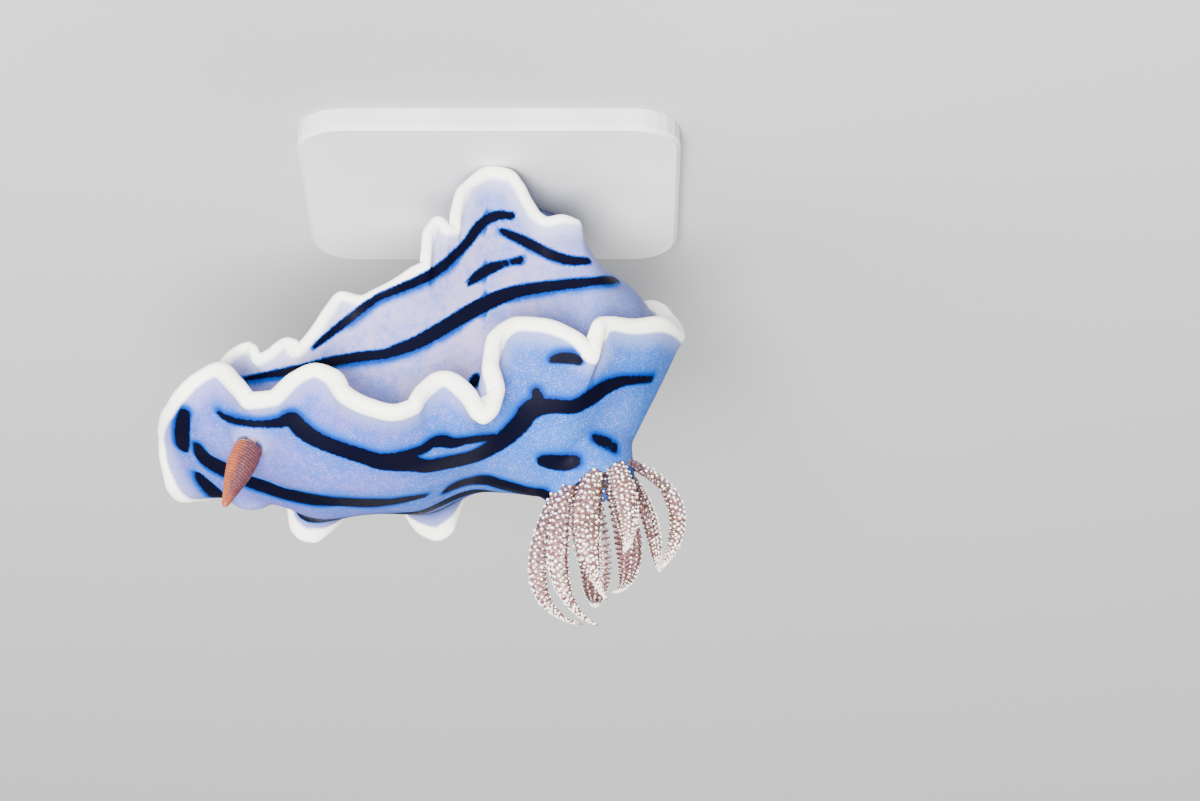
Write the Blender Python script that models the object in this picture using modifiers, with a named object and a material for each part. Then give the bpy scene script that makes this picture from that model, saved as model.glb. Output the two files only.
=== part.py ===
"""A nudibranch (a chromodorid sea slug) as a still, life-size model on a small plain display base.

It grips the base with the rear half of its foot and rears up, as it does where it hangs from a rock.

Metres, +Z up. The head points along +X and the animal's right side faces -Y. The body is one smooth form,
worked out as a surface round a back line: the mantle over the top, its frilled skirt, the flank under it and
the foot. An angle of 0 is the front of the animal, a quarter turn its right side and half a turn its rear.
"""

import math

import bmesh
import bpy
import numpy as np
from mathutils import Matrix, Vector

MM = 0.001
TURN = 2 * math.pi

# Clearance between neighbouring nodes.
GAP = 0.32 * MM
# The same clearance measured straight up, where the faces that meet are sloped.
PLANE_GAP = 0.5 * MM

# Display base: a flat plate with round corners. It keeps the reared body from falling forwards.
BASE_LENGTH = 24.0 * MM
BASE_WIDTH = 20.0 * MM
BASE_THICKNESS = 1.4 * MM
BASE_CORNER = 3.0 * MM
BASE_CORNER_STEPS = 7
BASE_BEVEL = 0.25 * MM
BASE_MIDDLE = np.array((-4.15, 1.0)) * MM

# The animal is worked out with the middle of its neck over X 0, Y 0 and its sole at height 0. The whole model
# is then moved by this much, so that the middle of its outline is over the origin and the base stands on the floor.
SHIFT = np.array((0.15, -1.0, 0.0)) * MM + np.array((0.0, 0.0, BASE_THICKNESS + GAP))

# How finely the body is faceted: steps round it, the same for mantle, trunk and foot, so that they meet.
BODY_STEPS = 120

# Mantle. Its edge is drawn through its crests and hollows. Each row is a station along the body,
# how far the edge leans from that station, its place to the side, and its height.
MANTLE_REACH = 16.4 * MM
EDGE_FRONT = np.array((0.1, 0.2, 17.4)) * MM
EDGE_RIGHT = np.array((
    (14.9, 0.3, -4.4, 15.6),
    (13.0, 0.0, -6.0, 14.5),
    (10.4, 0.0, -7.2, 17.2),
    (6.8, 0.0, -7.3, 15.0),
    (3.6, 0.0, -8.0, 17.8),
    (0.5, 0.0, -8.3, 18.3),
    (-1.3, 0.0, -7.9, 15.9),
    (-3.5, -0.3, -8.3, 18.9),
    (-4.8, -0.2, -8.3, 17.0),
    (-5.5, 0.8, -7.9, 13.4),
    (-6.6, 0.3, -7.7, 12.0),
    (-8.6, 0.0, -7.9, 12.3),
    (-10.8, 0.0, -7.2, 14.0),
    (-12.0, 0.0, -6.6, 11.8),
    (-14.6, -0.2, -4.8, 11.0),
)) * MM
EDGE_REAR = np.array((0.0, 0.0, 9.6)) * MM
EDGE_LEFT = np.array((
    (14.9, -0.2, 4.6, 18.7),
    (12.8, 0.0, 5.9, 18.6),
    (10.2, 0.0, 6.9, 16.6),
    (7.2, 0.0, 7.7, 20.0),
    (3.4, 0.0, 7.4, 16.4),
    (-0.7, 0.0, 8.0, 19.9),
    (-3.8, 0.0, 7.4, 15.2),
    (-6.6, 0.0, 7.8, 16.4),
    (-9.2, 0.0, 7.0, 12.6),
    (-11.8, 0.0, 6.6, 14.0),
    (-14.6, -0.2, 4.6, 10.8),
)) * MM
EDGE_THICKNESS = 0.8 * MM
# Crown of the back along the middle: a station and a height. The line stops short of both ends.
BACK_FRONT = 10.6 * MM
BACK_REAR = -10.8 * MM
BACK = np.array((
    (11.5, 19.3),
    (8.6, 20.5),
    (4.6, 21.1),
    (0.4, 20.8),
    (-3.3, 19.5),
    (-7.2, 20.3),
    (-11.5, 19.3),
)) * MM
# The same edge without its folds. The shoulder of the back and the neck under the skirt follow this one.
MEAN_FRONT = np.array((0.1, 0.2, 17.2)) * MM
MEAN_RIGHT = np.array((
    (14.9, 0.3, -4.4, 15.8),
    (10.4, 0.0, -6.9, 16.0),
    (3.6, 0.0, -7.9, 16.6),
    (-3.0, 0.0, -8.1, 16.0),
    (-8.6, 0.0, -7.7, 13.0),
    (-12.0, 0.0, -6.7, 12.2),
    (-14.6, -0.2, -4.8, 11.2),
)) * MM
MEAN_REAR = np.array((0.0, 0.0, 10.2)) * MM
MEAN_LEFT = np.array((
    (14.9, -0.2, 4.6, 18.2),
    (10.2, 0.0, 6.9, 17.6),
    (3.4, 0.0, 7.6, 17.4),
    (-3.8, 0.0, 7.6, 16.4),
    (-9.2, 0.0, 7.2, 13.6),
    (-14.6, -0.2, 4.6, 11.2),
)) * MM
SHOULDER_REACH = 0.74
SHOULDER_DROP = 0.42
CROWN_REACH = 0.5
# How far out from the back line the skirt leaves the trunk, as a share of the way to the edge.
NECK = np.array((
    (16.4, 0.30),
    (10.0, 0.42),
    (0.0, 0.46),
    (-6.0, 0.50),
    (-11.0, 0.48),
    (-16.4, 0.30),
))
NECK_THICKNESS = 1.9 * MM
CAP_DEPTH = 3.4 * MM

# Foot. Its edge is drawn as the mantle's is. The tail is the foot's rear, laid round to the left.
FOOT_REACH = 12.9 * MM
FOOT_FRONT = np.array((0.0, 0.0, 12.5)) * MM
FOOT_RIGHT = np.array((
    (12.2, 0.2, -2.0, 12.5),
    (10.6, 0.0, -3.8, 11.8),
    (9.7, 0.0, -3.9, 12.8),
    (8.3, 0.0, -4.3, 11.7),
    (7.4, 0.0, -4.2, 12.1),
    (5.2, 0.0, -4.7, 8.9),
    (2.8, 0.0, -4.6, 8.6),
    (0.3, 0.0, -4.7, 6.6),
    (-0.9, 0.2, -4.9, 4.0),
    (-2.0, 0.1, -4.5, 4.6),
    (-2.8, 0.1, -4.1, 0.7),
    (-4.3, 0.0, -3.9, 0.5),
    (-5.7, 0.0, -4.1, 0.8),
    (-6.9, 0.2, -4.6, 3.2),
    (-8.4, 0.0, -4.9, 4.0),
    (-9.8, -0.3, -4.4, 3.9),
    (-11.0, -0.6, -1.2, 3.9),
    (-12.0, -1.0, 3.6, 3.0),
    (-12.7, -1.4, 8.0, 2.2),
)) * MM
FOOT_REAR = np.array((-1.2, 10.8, 0.5)) * MM
FOOT_LEFT = np.array((
    (12.2, 0.2, 2.0, 12.4),
    (10.2, 0.0, 3.8, 11.6),
    (8.0, 0.0, 4.3, 11.9),
    (5.6, 0.0, 4.7, 8.6),
    (3.6, 0.0, 4.7, 6.6),
    (1.4, 0.0, 5.0, 4.4),
    (0.2, 0.0, 5.2, 3.2),
    (-0.8, 0.0, 5.3, 0.5),
    (-2.0, 0.0, 5.3, 0.5),
    (-4.5, 0.0, 5.0, 0.5),
    (-7.5, 0.0, 5.4, 0.5),
    (-10.0, 0.8, 6.4, 0.5),
    (-12.0, 0.6, 8.8, 0.5),
)) * MM
FOOT_THICKNESS = 0.6 * MM
# The soft sole sticks to the floor wherever it comes this close.
CONTACT = 0.35 * MM
# Middle of the sole, from under the head to the tail: station, lean, place to the side, height.
SOLE = np.array((
    (-12.9, 0.2, 8.6, 0.0),
    (-11.5, 0.6, 5.4, 0.0),
    (-9.0, 0.6, 1.6, 0.0),
    (-5.0, 0.2, 0.6, 0.0),
    (-2.7, 0.0, 0.6, 0.0),
    (-1.5, 0.0, 0.5, 1.5),
    (0.2, 0.0, 0.3, 4.4),
    (3.2, 0.0, 0.0, 6.6),
    (6.0, 0.0, 0.0, 9.4),
    (9.0, -0.4, 0.0, 11.0),
    (12.9, -1.8, 0.0, 11.8),
)) * MM
FLANK_TUCK = 0.8 * MM
FLANGE_TUCK = 1.5 * MM
FLANGE_START = 0.8

# Cuts that part the head from the trunk and the tail from the foot.
HEAD_CUT = 8.6 * MM
TAIL_CUT = np.array((-10.6, 2.4, 0.0)) * MM
TAIL_WAY = np.array((-0.55, 0.83, 0.0))

# Rhinophores: where each stands on the back, which way it points, its length and width. The left one is drawn in.
RHINOPHORES = {
    "right": {"place": (10.1, -4.6), "way": (0.27, -0.25, 0.93), "length": 5.4, "width": 1.7},
    "left": {"place": (10.3, 5.0), "way": (0.10, 0.65, 0.75), "length": 0.9, "width": 1.0},
}
SHEATH_RADIUS = 1.25 * MM
SHEATH_WALL = 0.45 * MM
SHEATH_HEIGHT = 0.55 * MM
SHEATH_SINK = 0.9 * MM
SHEATH_FLARE = 1.15
SHEATH_LIFT = 0.3 * MM

# Gills: a crown of plumes in a low raised pocket.
CROWN_CENTRE = np.array((-10.7, 0.0, 19.4)) * MM
CROWN_WAY = np.array((-0.36, 0.0, 0.93))
PLUME_WAY = np.array((-0.06, 0.0, 1.0))
POCKET_RADIUS = 3.2 * MM
POCKET_WALL = 0.4 * MM
POCKET_HEIGHT = 0.35 * MM
POCKET_SINK = 1.9 * MM
POCKET_FLARE = 1.3
PLUME_RING = 2.1 * MM
# Each plume: bearing round the crown from the head towards the right side in degrees, how soon it leans
# out, how far it arches out, how high its tip stands, how far its tip is from the crown's middle, how far
# it bows sideways and how far its tip swings sideways, and its width.
PLUMES = (
    (2, 0.5, 4.3, 7.4, 0.6, -0.3, -0.5, 2.2),
    (44, 0.5, 4.3, 8.6, 0.8, -0.3, 0.2, 2.3),
    (88, 0.5, 4.0, 6.8, 1.8, -1.0, 0.9, 2.3),
    (130, 0.5, 3.8, 5.6, 2.5, -0.1, 0.0, 2.3),
    (170, 1.0, 4.7, 5.0, 4.0, 0.2, 0.0, 2.1),
    (212, 0.8, 4.3, 6.2, 3.3, 0.0, 0.0, 2.1),
    (258, 0.5, 4.2, 6.9, 1.7, 0.0, -0.4, 2.3),
    (310, 0.5, 4.3, 8.0, 1.3, 0.0, -0.5, 2.3),
)
PLUME_STEPS = 8
STEM_SIDES = 4
# The stem of a plume is this share of its width, and a little more. Leaflets take up the rest.
STEM_SHARE = 0.34
STEM_LEAST = 0.18 * MM
LEAFLETS = 6
FIRST_LEAFLET = 0.2
LAST_LEAFLET = 0.93
LEAFLET_RADIUS = 0.42 * MM
LEAFLET_TAPER = 0.6

# Mouth: round lips on the front of the head, with a short oral tentacle at each side.
MOUTH_DOWN = 0.42
LIP_RADIUS = 1.0 * MM
LIP_WALL = 0.4 * MM
LIP_HEIGHT = 0.4 * MM
LIP_SINK = 0.5 * MM
LIP_FLARE = 1.1
TENTACLE_ANGLE = math.radians(24)
TENTACLE_DOWN = 0.45
TENTACLE_LENGTH = 1.5 * MM
TENTACLE_RADIUS = 0.45 * MM

# Colours as linear red, green and blue.
SKIN = (0.44, 0.55, 0.90, 1.0)
PALE_SKIN = (0.60, 0.63, 0.88, 1.0)
GILL = (0.45, 0.27, 0.24, 1.0)
CLUB = (0.52, 0.20, 0.12, 1.0)
BASE_GREY = (0.60, 0.60, 0.58, 1.0)


def eased(table, at):
    """Smooth curve through a table whose first column is the knot.

    A cubic runs from knot to knot. Its slope at a knot is the harmonic mean of the slopes on the two sides,
    and nothing at a crest or a hollow, so the curve never swings past the table.
    """
    knots = table[:, 0]
    values = table[:, 1:]
    step = np.diff(knots)[:, None]
    slope = np.diff(values, axis=0) / step
    same = slope[:-1] * slope[1:] > 0
    total = np.where(same, slope[:-1] + slope[1:], 1.0)
    inner = np.where(same, 2 * slope[:-1] * slope[1:] / total, 0.0)
    tangent = np.concatenate((slope[:1], inner, slope[-1:]))
    at = np.asarray(at, float)
    index = np.clip(np.searchsorted(knots, at, side="right") - 1, 0, len(step) - 1)
    width = step[index]
    u = np.clip((at[..., None] - knots[index][..., None]) / width, 0.0, 1.0)
    start = (1 + 2 * u) * (1 - u) ** 2 * values[index] + u * (1 - u) ** 2 * width * tangent[index]
    end = u * u * (3 - 2 * u) * values[index + 1] + u * u * (u - 1) * width * tangent[index + 1]
    return start + end


def ring_table(reach, front, right, rear, left):
    """The rows of an edge as one table over the angle round the body, with a turn to spare at each end."""
    right_angle = np.arccos(right[:, 0] / reach)
    left_angle = TURN - np.arccos(left[::-1, 0] / reach)
    angle = np.concatenate(((0.0,), right_angle, (math.pi,), left_angle))
    values = np.concatenate((front[None], right[:, 1:], rear[None], left[::-1, 1:]))
    rows = np.column_stack((angle, values))
    before = rows - np.array((TURN, 0, 0, 0))
    after = rows + np.array((TURN, 0, 0, 0))
    return np.concatenate((before, rows, after))


MANTLE_TABLE = ring_table(MANTLE_REACH, EDGE_FRONT, EDGE_RIGHT, EDGE_REAR, EDGE_LEFT)
MEAN_TABLE = ring_table(MANTLE_REACH, MEAN_FRONT, MEAN_RIGHT, MEAN_REAR, MEAN_LEFT)
FOOT_TABLE = ring_table(FOOT_REACH, FOOT_FRONT, FOOT_RIGHT, FOOT_REAR, FOOT_LEFT)


def edge(table, reach, angle):
    """A point of an edge: the station is reach times the cosine of the angle, and the table does the rest."""
    value = eased(table, angle)
    return np.stack((reach * np.cos(angle) + value[..., 0], value[..., 1], value[..., 2]), axis=-1)


def back_line(angle):
    """The point of the back line that an angle starts from."""
    middle = (BACK_FRONT + BACK_REAR) / 2
    x = middle + (BACK_FRONT - BACK_REAR) / 2 * np.cos(angle)
    z = eased(BACK[::-1], x)[..., 0]
    return np.stack((x, np.zeros_like(x), z), axis=-1)


def bezier(a, b, c, d, u):
    """The cubic curve from a to d, drawn towards b as it leaves and from c as it arrives."""
    v = 1 - u
    return v**3 * a + 3 * v * v * u * b + 3 * v * u * u * c + u**3 * d


def dome(angle, across, rim):
    """From the back line level outwards, over the shoulder and out to a rim."""
    top = back_line(angle)
    out = (rim - top) * np.array((1.0, 1.0, 0.0))
    mean = edge(MEAN_TABLE, MANTLE_REACH, angle)[..., 2]
    crown = top + CROWN_REACH * out
    shoulder = top + SHOULDER_REACH * out
    shoulder[..., 2] = top[..., 2] + SHOULDER_DROP * (mean - top[..., 2])
    return bezier(top, crown, shoulder, rim, across[..., None])


def dorsum(angle, across):
    """The mantle's upper face, out to its folded edge."""
    return dome(angle, across, edge(MANTLE_TABLE, MANTLE_REACH, angle))


def plain_dorsum(angle, across):
    """The same face as it would be if the edge had no folds."""
    return dome(angle, across, edge(MEAN_TABLE, MANTLE_REACH, angle))


def facing(surface, angle, along):
    """The unit normal of a surface of an angle and a share, taken from small steps in both."""
    step = 1e-3
    inward = np.minimum(along, 1 - step)
    round_body = surface(angle + step, inward) - surface(angle - step, inward)
    outward = surface(angle, inward + step) - surface(angle, np.maximum(inward - step, 0.0))
    normal = np.cross(round_body, outward)
    return normal / np.linalg.norm(normal, axis=-1, keepdims=True)


def leaving(surface, angle):
    """The unit direction in which a surface reaches its edge."""
    step = 1e-3
    end = np.ones_like(angle)
    way = surface(angle, end) - surface(angle, end - step)
    return way / np.linalg.norm(way, axis=-1, keepdims=True)


def neck_share(angle):
    return eased(NECK[::-1] * np.array((MM, 1.0)), MANTLE_REACH * np.cos(angle))[..., 0]


def underside(angle, share):
    """The skirt's lower face, share 0 at the neck and 1 at the edge.

    It is the upper face let down by the thickness. The folds fade out of it towards the neck.
    """
    start = neck_share(angle)
    across = start + (1 - start) * share
    thickness = (NECK_THICKNESS + (EDGE_THICKNESS - NECK_THICKNESS) * share)[..., None]
    folded = dorsum(angle, across) - facing(dorsum, angle, across) * thickness
    plain = plain_dorsum(angle, across) - facing(plain_dorsum, angle, across) * thickness
    fold = np.minimum(1.0, 1.6 * share)[..., None]
    return plain + fold * (folded - plain)


def neck(angle):
    return underside(angle, np.zeros_like(angle))


def flank(angle, down):
    """The side of the body: from the neck down, tucked in, and out again to the foot's edge."""
    start = neck(angle)
    end = edge(FOOT_TABLE, FOOT_REACH, angle)
    out = (start - back_line(angle)) * np.array((1.0, 1.0, 0.0))
    out /= np.linalg.norm(out, axis=-1, keepdims=True)
    drop = np.array((0.0, 0.0, 1.0)) * (start - end)[..., 2:]
    upper = start - 0.34 * drop - FLANK_TUCK * out
    lower = end + 0.2 * drop - FLANGE_TUCK * out
    return bezier(start, upper, lower, end, down[..., None])


def sole_line(angle):
    table = SOLE
    station = FOOT_REACH * np.cos(angle)
    value = eased(table, station)
    return np.stack((station + value[..., 0], value[..., 1], value[..., 2]), axis=-1)


def rim(surface, angle, thickness, turn):
    """A point on the round edge of a surface: turn 0 is its upper face and 1 its lower face."""
    end = np.ones_like(angle)
    normal = facing(surface, angle, end)
    way = leaving(surface, angle)
    middle = surface(angle, end) - normal * thickness / 2
    swing = math.pi * turn
    return middle + thickness / 2 * (normal * math.cos(swing) + way * math.sin(swing))


def on_floor(points):
    """The same points, with all that is close to the floor pressed flat on it."""
    laid = points.copy()
    laid[..., 2] = np.where(laid[..., 2] < CONTACT, 0.0, laid[..., 2])
    return laid


def travel(table, reach, angle):
    """How far an edge runs from its front to each angle."""
    return np.linalg.norm(np.diff(edge(table, reach, angle), axis=0), axis=1)


def even_angles(count):
    """Angles set close where the edges are longest. They mirror from side to side, so the halves meet."""
    half = np.linspace(0.0, math.pi, 1441)
    lengths = [travel(table, reach, angle)
               for table, reach in ((MANTLE_TABLE, MANTLE_REACH), (FOOT_TABLE, FOOT_REACH))
               for angle in (half, TURN - half)]
    run = np.concatenate(((0.0,), np.cumsum(np.max(lengths, axis=0))))
    steps = np.interp(np.linspace(0.0, run[-1], count // 2 + 1), run, half)
    return np.concatenate((steps, TURN - steps[-2:0:-1]))


def material_of(name, colour, roughness):
    material = bpy.data.materials.new(name)
    material.use_nodes = True
    shader = material.node_tree.nodes["Principled BSDF"]
    shader.inputs["Base Color"].default_value = colour
    shader.inputs["Roughness"].default_value = roughness
    return material


def add_object(name, mesh, material, collection):
    item = bpy.data.objects.new(name, mesh)
    collection.objects.link(item)
    if material:
        mesh.materials.append(material)
    mesh.shade_smooth()
    return item


def mesh_of(name, points, faces):
    """A closed mesh of these faces, its doubled points welded and its faces turned outwards."""
    mesh = bpy.data.meshes.new(name)
    mesh.from_pydata([tuple(point) for point in points], [], [tuple(face) for face in faces])
    shape = bmesh.new()
    shape.from_mesh(mesh)
    bmesh.ops.remove_doubles(shape, verts=shape.verts, dist=1e-7)
    bmesh.ops.dissolve_degenerate(shape, edges=shape.edges, dist=1e-7)
    bmesh.ops.triangulate(shape, faces=shape.faces, quad_method="FIXED")
    bmesh.ops.recalc_face_normals(shape, faces=shape.faces)
    if shape.calc_volume(signed=True) < 0:
        bmesh.ops.reverse_faces(shape, faces=shape.faces)
    shape.to_mesh(mesh)
    shape.free()
    return mesh


def loft(name, rings, outward):
    """A mesh through rings of points. The first and the last ring fold flat on themselves, or are capped.

    The rings run outwards for a number of spans and back in again under them. Each face is split from its
    inner near corner to its outer far corner, so a thin skirt has the same triangles above and below.
    """
    rings = np.array(rings)
    count, around = rings.shape[:2]
    near = np.arange(around)
    far = np.roll(near, -1)
    faces = []
    for k in range(count - 1):
        here = k * around
        after = here + around
        corners = [here + near, after + near, after + far, here + far]
        if k >= outward:
            corners = corners[1:] + corners[:1]
        faces.append(np.column_stack(corners))
    return mesh_of(name, rings.reshape(-1, 3) + SHIFT, np.concatenate(faces))


def capped_loft(name, rings):
    """A mesh through rings of points, with its ends closed round their middles."""
    first = np.repeat(np.mean(rings[0], axis=0)[None], len(rings[0]), axis=0)
    last = np.repeat(np.mean(rings[-1], axis=0)[None], len(rings[0]), axis=0)
    return loft(name, [first, *rings, last], len(rings) + 1)


def shared_plane(angle, lowered):
    """Where mantle and trunk meet: from the neck in to a line under the back, in three rings."""
    outer = neck(angle)
    middle = back_line(angle)
    middle[..., 2] -= CAP_DEPTH
    drop = np.array((0.0, 0.0, lowered))
    return [outer - drop, outer + 0.45 * (middle - outer) - drop, middle - drop]


def lower_plane(angle, lowered):
    """Where trunk and foot meet: from the flank in to a line over the sole."""
    outer = flank(angle, np.full_like(angle, FLANGE_START))
    middle = sole_line(angle)
    middle[..., 2] += 2.0 * MM
    drop = np.array((0.0, 0.0, lowered))
    return [outer - drop, outer + 0.45 * (middle - outer) - drop, middle - drop]


def mantle_mesh():
    angle = even_angles(BODY_STEPS)
    rings = [dorsum(angle, np.full_like(angle, share)) for share in (0.0, 0.3, 0.52, 0.7, 0.87, 1.0)]
    spans = len(rings)
    rings.append(rim(dorsum, angle, EDGE_THICKNESS, 0.5))
    rings += [underside(angle, np.full_like(angle, share)) for share in (1.0, 0.75, 0.4, 0.0)]
    rings += shared_plane(angle, 0.0)[1:]
    return loft("mantle", rings, spans)


def beyond(angle, share, distance):
    """The share of the flank that lies this far below a share of it, measured along the flank."""
    step = 0.02
    share = np.full_like(angle, share)
    upper = np.maximum(share - step, 0.0)
    run = np.linalg.norm(flank(angle, upper) - flank(angle, share + step), axis=-1)
    return share + distance * (share + step - upper) / run


def trunk_mesh():
    angle = even_angles(BODY_STEPS)
    top = beyond(angle, 0.0, PLANE_GAP)
    bottom = beyond(angle, FLANGE_START, -PLANE_GAP)
    rings = shared_plane(angle, PLANE_GAP)[:0:-1]
    rings += [flank(angle, top + (bottom - top) * share) for share in (0.0, 0.33, 0.66, 1.0)]
    rings += lower_plane(angle, -PLANE_GAP)[1:]
    return loft("trunk", rings, len(rings))


def foot_mesh():
    angle = even_angles(BODY_STEPS)
    rings = lower_plane(angle, 0.0)[::-1]
    rings += [flank(angle, np.full_like(angle, share)) for share in (0.9, 1.0)]
    spans = len(rings)
    rings += [rim(flank, angle, FOOT_THICKNESS, turn) for turn in (0.5, 1.0)]
    under = rings[-1]
    middle = sole_line(angle)
    rings += [under + share * (middle - under) for share in (0.25, 0.6, 1.0)]
    return loft("foot", [on_floor(ring) for ring in rings], spans)


def cut_off(mesh, name, point, way):
    """A copy of a mesh with all that lies past a plane taken away and the cut face closed."""
    shape = bmesh.new()
    shape.from_mesh(mesh)
    everything = shape.verts[:] + shape.edges[:] + shape.faces[:]
    made = bmesh.ops.bisect_plane(shape, geom=everything, plane_co=point, plane_no=way, clear_outer=True)
    rim_edges = [item for item in made["geom_cut"] if isinstance(item, bmesh.types.BMEdge)]
    bmesh.ops.triangle_fill(shape, edges=rim_edges, use_beauty=True)
    bmesh.ops.recalc_face_normals(shape, faces=shape.faces)
    if shape.calc_volume(signed=True) < 0:
        bmesh.ops.reverse_faces(shape, faces=shape.faces)
    part = bpy.data.meshes.new(name)
    shape.to_mesh(part)
    shape.free()
    return part


def turned(name, profile, segments):
    """A closed turned shape: a profile of radii and heights, spun round the Z axis with a Screw modifier."""
    mesh = bpy.data.meshes.new(name)
    points = [(radius, 0.0, height) for radius, height in profile]
    mesh.from_pydata(points, [(k, k + 1) for k in range(len(points) - 1)], [])
    item = bpy.data.objects.new(name, mesh)
    bpy.context.scene.collection.objects.link(item)
    screw = item.modifiers.new("Spin", "SCREW")
    screw.steps = segments
    screw.render_steps = segments
    screw.use_merge_vertices = True
    screw.merge_threshold = 1e-6
    bpy.context.view_layer.update()
    made = bpy.data.meshes.new_from_object(item.evaluated_get(bpy.context.evaluated_depsgraph_get()))
    bpy.data.objects.remove(item)
    bpy.data.meshes.remove(mesh)
    shape = bmesh.new()
    shape.from_mesh(made)
    bmesh.ops.remove_doubles(shape, verts=shape.verts, dist=1e-7)
    bmesh.ops.triangulate(shape, faces=shape.faces)
    bmesh.ops.recalc_face_normals(shape, faces=shape.faces)
    shape.to_mesh(made)
    shape.free()
    return made


def standing(mesh, foot, way):
    """Puts a shape made round the Z axis on a point, with its axis along a direction."""
    turn = Vector((0, 0, 1)).rotation_difference(Vector(way).normalized()).to_matrix().to_4x4()
    mesh.transform(Matrix.Translation(Vector(foot) + Vector(SHIFT)) @ turn)
    return mesh


def cup(name, radius, wall, height, sink, flare, segments):
    """A low round cup with a flat floor at height 0, an upright wall and a root that flares as it goes down."""
    profile = (
        (0.0, -sink),
        (radius * flare, -sink),
        (radius * 1.02, 0.0),
        (radius - 0.2 * wall, 0.75 * height),
        (radius - 0.5 * wall, height),
        (radius - 0.8 * wall, 0.75 * height),
        (radius - wall, 0.0),
        (0.0, 0.0),
    )
    return turned(name, profile, segments)


def face_of_head(angle, down):
    """A point on the front of the head and the direction that it faces."""
    angle = np.array((angle,))
    down = np.array((down,))
    return flank(angle, down)[0], facing(flank, angle, down)[0]


def lips_mesh():
    point, way = face_of_head(0.0, MOUTH_DOWN)
    return standing(cup("lips", LIP_RADIUS, LIP_WALL, LIP_HEIGHT, LIP_SINK, LIP_FLARE, 14), point, way)


def tentacle_mesh(name, side):
    """An oral tentacle: a blunt cone that stands just clear of the head and points outwards."""
    point, way = face_of_head(side * TENTACLE_ANGLE, TENTACLE_DOWN)
    radius = TENTACLE_RADIUS
    length = TENTACLE_LENGTH
    profile = ((0.0, 0.0), (radius, 0.0), (radius * 0.85, 0.45 * length), (radius * 0.55, 0.8 * length),
               (radius * 0.2, 0.98 * length), (0.0, length))
    return standing(turned(name, profile, 10), point + GAP * way, way)


def club_profile(length, width):
    """The profile of a rhinophore: a smooth stalk, then a club of stacked leaves that tapers to its tip."""
    stalk = 0.34 * width
    points = [(0.0, 0.0), (stalk, 0.0), (stalk * 0.95, 0.24 * length)]
    leaves = 8
    for leaf in range(leaves):
        share = leaf / leaves
        height = (0.28 + 0.62 * share) * length
        swell = math.sin(math.pi * (0.18 + 0.74 * share)) ** 0.7
        points.append((0.5 * width * swell, height + 0.02 * length))
        points.append((0.5 * width * swell * 0.78, height + 0.06 * length))
    points.append((0.16 * width, 0.96 * length))
    points.append((0.0, length))
    return points


def sheath_floor(size):
    """The middle of a sheath's floor: the point of the back over its place, lifted a little."""
    angle, across = np.meshgrid(np.linspace(0.0, TURN, 721), np.linspace(0.0, 0.9, 181))
    points = dorsum(angle, across).reshape(-1, 3)
    place = np.array(size["place"]) * MM
    nearest = np.argmin(np.sum((points[:, :2] - place) ** 2, axis=1))
    return points[nearest] + SHEATH_LIFT * np.array(size["way"])


def fuse(base, pieces):
    """One Boolean union of a mesh with a list of closed meshes. Only the largest closed surface stays."""
    helpers = bpy.data.collections.new("fusing")
    bpy.context.scene.collection.children.link(helpers)
    for piece in pieces:
        helpers.objects.link(bpy.data.objects.new(piece.name, piece))
    item = bpy.data.objects.new("fused", base)
    bpy.context.scene.collection.objects.link(item)
    union = item.modifiers.new("Union", "BOOLEAN")
    union.operation = "UNION"
    union.operand_type = "COLLECTION"
    union.collection = helpers
    union.solver = "MANIFOLD"
    bpy.context.view_layer.update()
    made = bpy.data.meshes.new_from_object(item.evaluated_get(bpy.context.evaluated_depsgraph_get()))
    for helper in list(helpers.objects):
        bpy.data.objects.remove(helper)
    bpy.data.objects.remove(item)
    bpy.data.collections.remove(helpers)
    keep_largest(made)
    return made


def keep_largest(mesh):
    """Takes away every closed surface but the one with the most volume."""
    shape = bmesh.new()
    shape.from_mesh(mesh)
    bmesh.ops.triangulate(shape, faces=shape.faces)
    left = set(shape.faces)
    bodies = []
    while left:
        body = set()
        border = [left.pop()]
        while border:
            face = border.pop()
            body.add(face)
            for side in face.edges:
                fresh = [other for other in side.link_faces if other in left]
                left.difference_update(fresh)
                border += fresh
        bodies.append(body)
    sizes = [abs(sum(f.verts[0].co.cross(f.verts[1].co).dot(f.verts[2].co) for f in body)) for body in bodies]
    largest = bodies[sizes.index(max(sizes))]
    extra = [face for face in shape.faces if face not in largest]
    bmesh.ops.delete(shape, geom=extra, context="FACES")
    shape.to_mesh(mesh)
    shape.free()


def crown_frame():
    """The crown's own axes: forward, to the right side, and up along its plumes."""
    out = PLUME_WAY / np.linalg.norm(PLUME_WAY)
    right = np.array((0.0, -1.0, 0.0))
    forward = np.cross(out, right)
    return forward, right, out


def plume_line(bearing, lean, reach, rise, tip, bow, swing, share):
    """The middle line of a plume: up out of the pocket, arching outwards, its tip curling in again."""
    forward, right, out = crown_frame()
    way = math.cos(bearing) * forward + math.sin(bearing) * right
    root = PLUME_RING
    floor = -root * np.dot(CROWN_WAY, way) / np.dot(CROWN_WAY, out)
    height = floor + 2 * GAP + rise * np.array((0.0, 0.42, 0.98, 1.0))
    spread = np.array((root, root + lean * (reach - root), root + (2.6 - lean) * (reach - root), tip))
    share = share[:, None]
    side = np.cross(way, out)
    radius = bezier(spread[0], spread[1], spread[2], spread[3], share)
    level = bezier(height[0], height[1], height[2], height[3], share)
    sideways = 4 * bow * share * (1 - share) + swing * share**2
    return CROWN_CENTRE + radius * way + sideways * side + level * out, way, side


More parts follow.
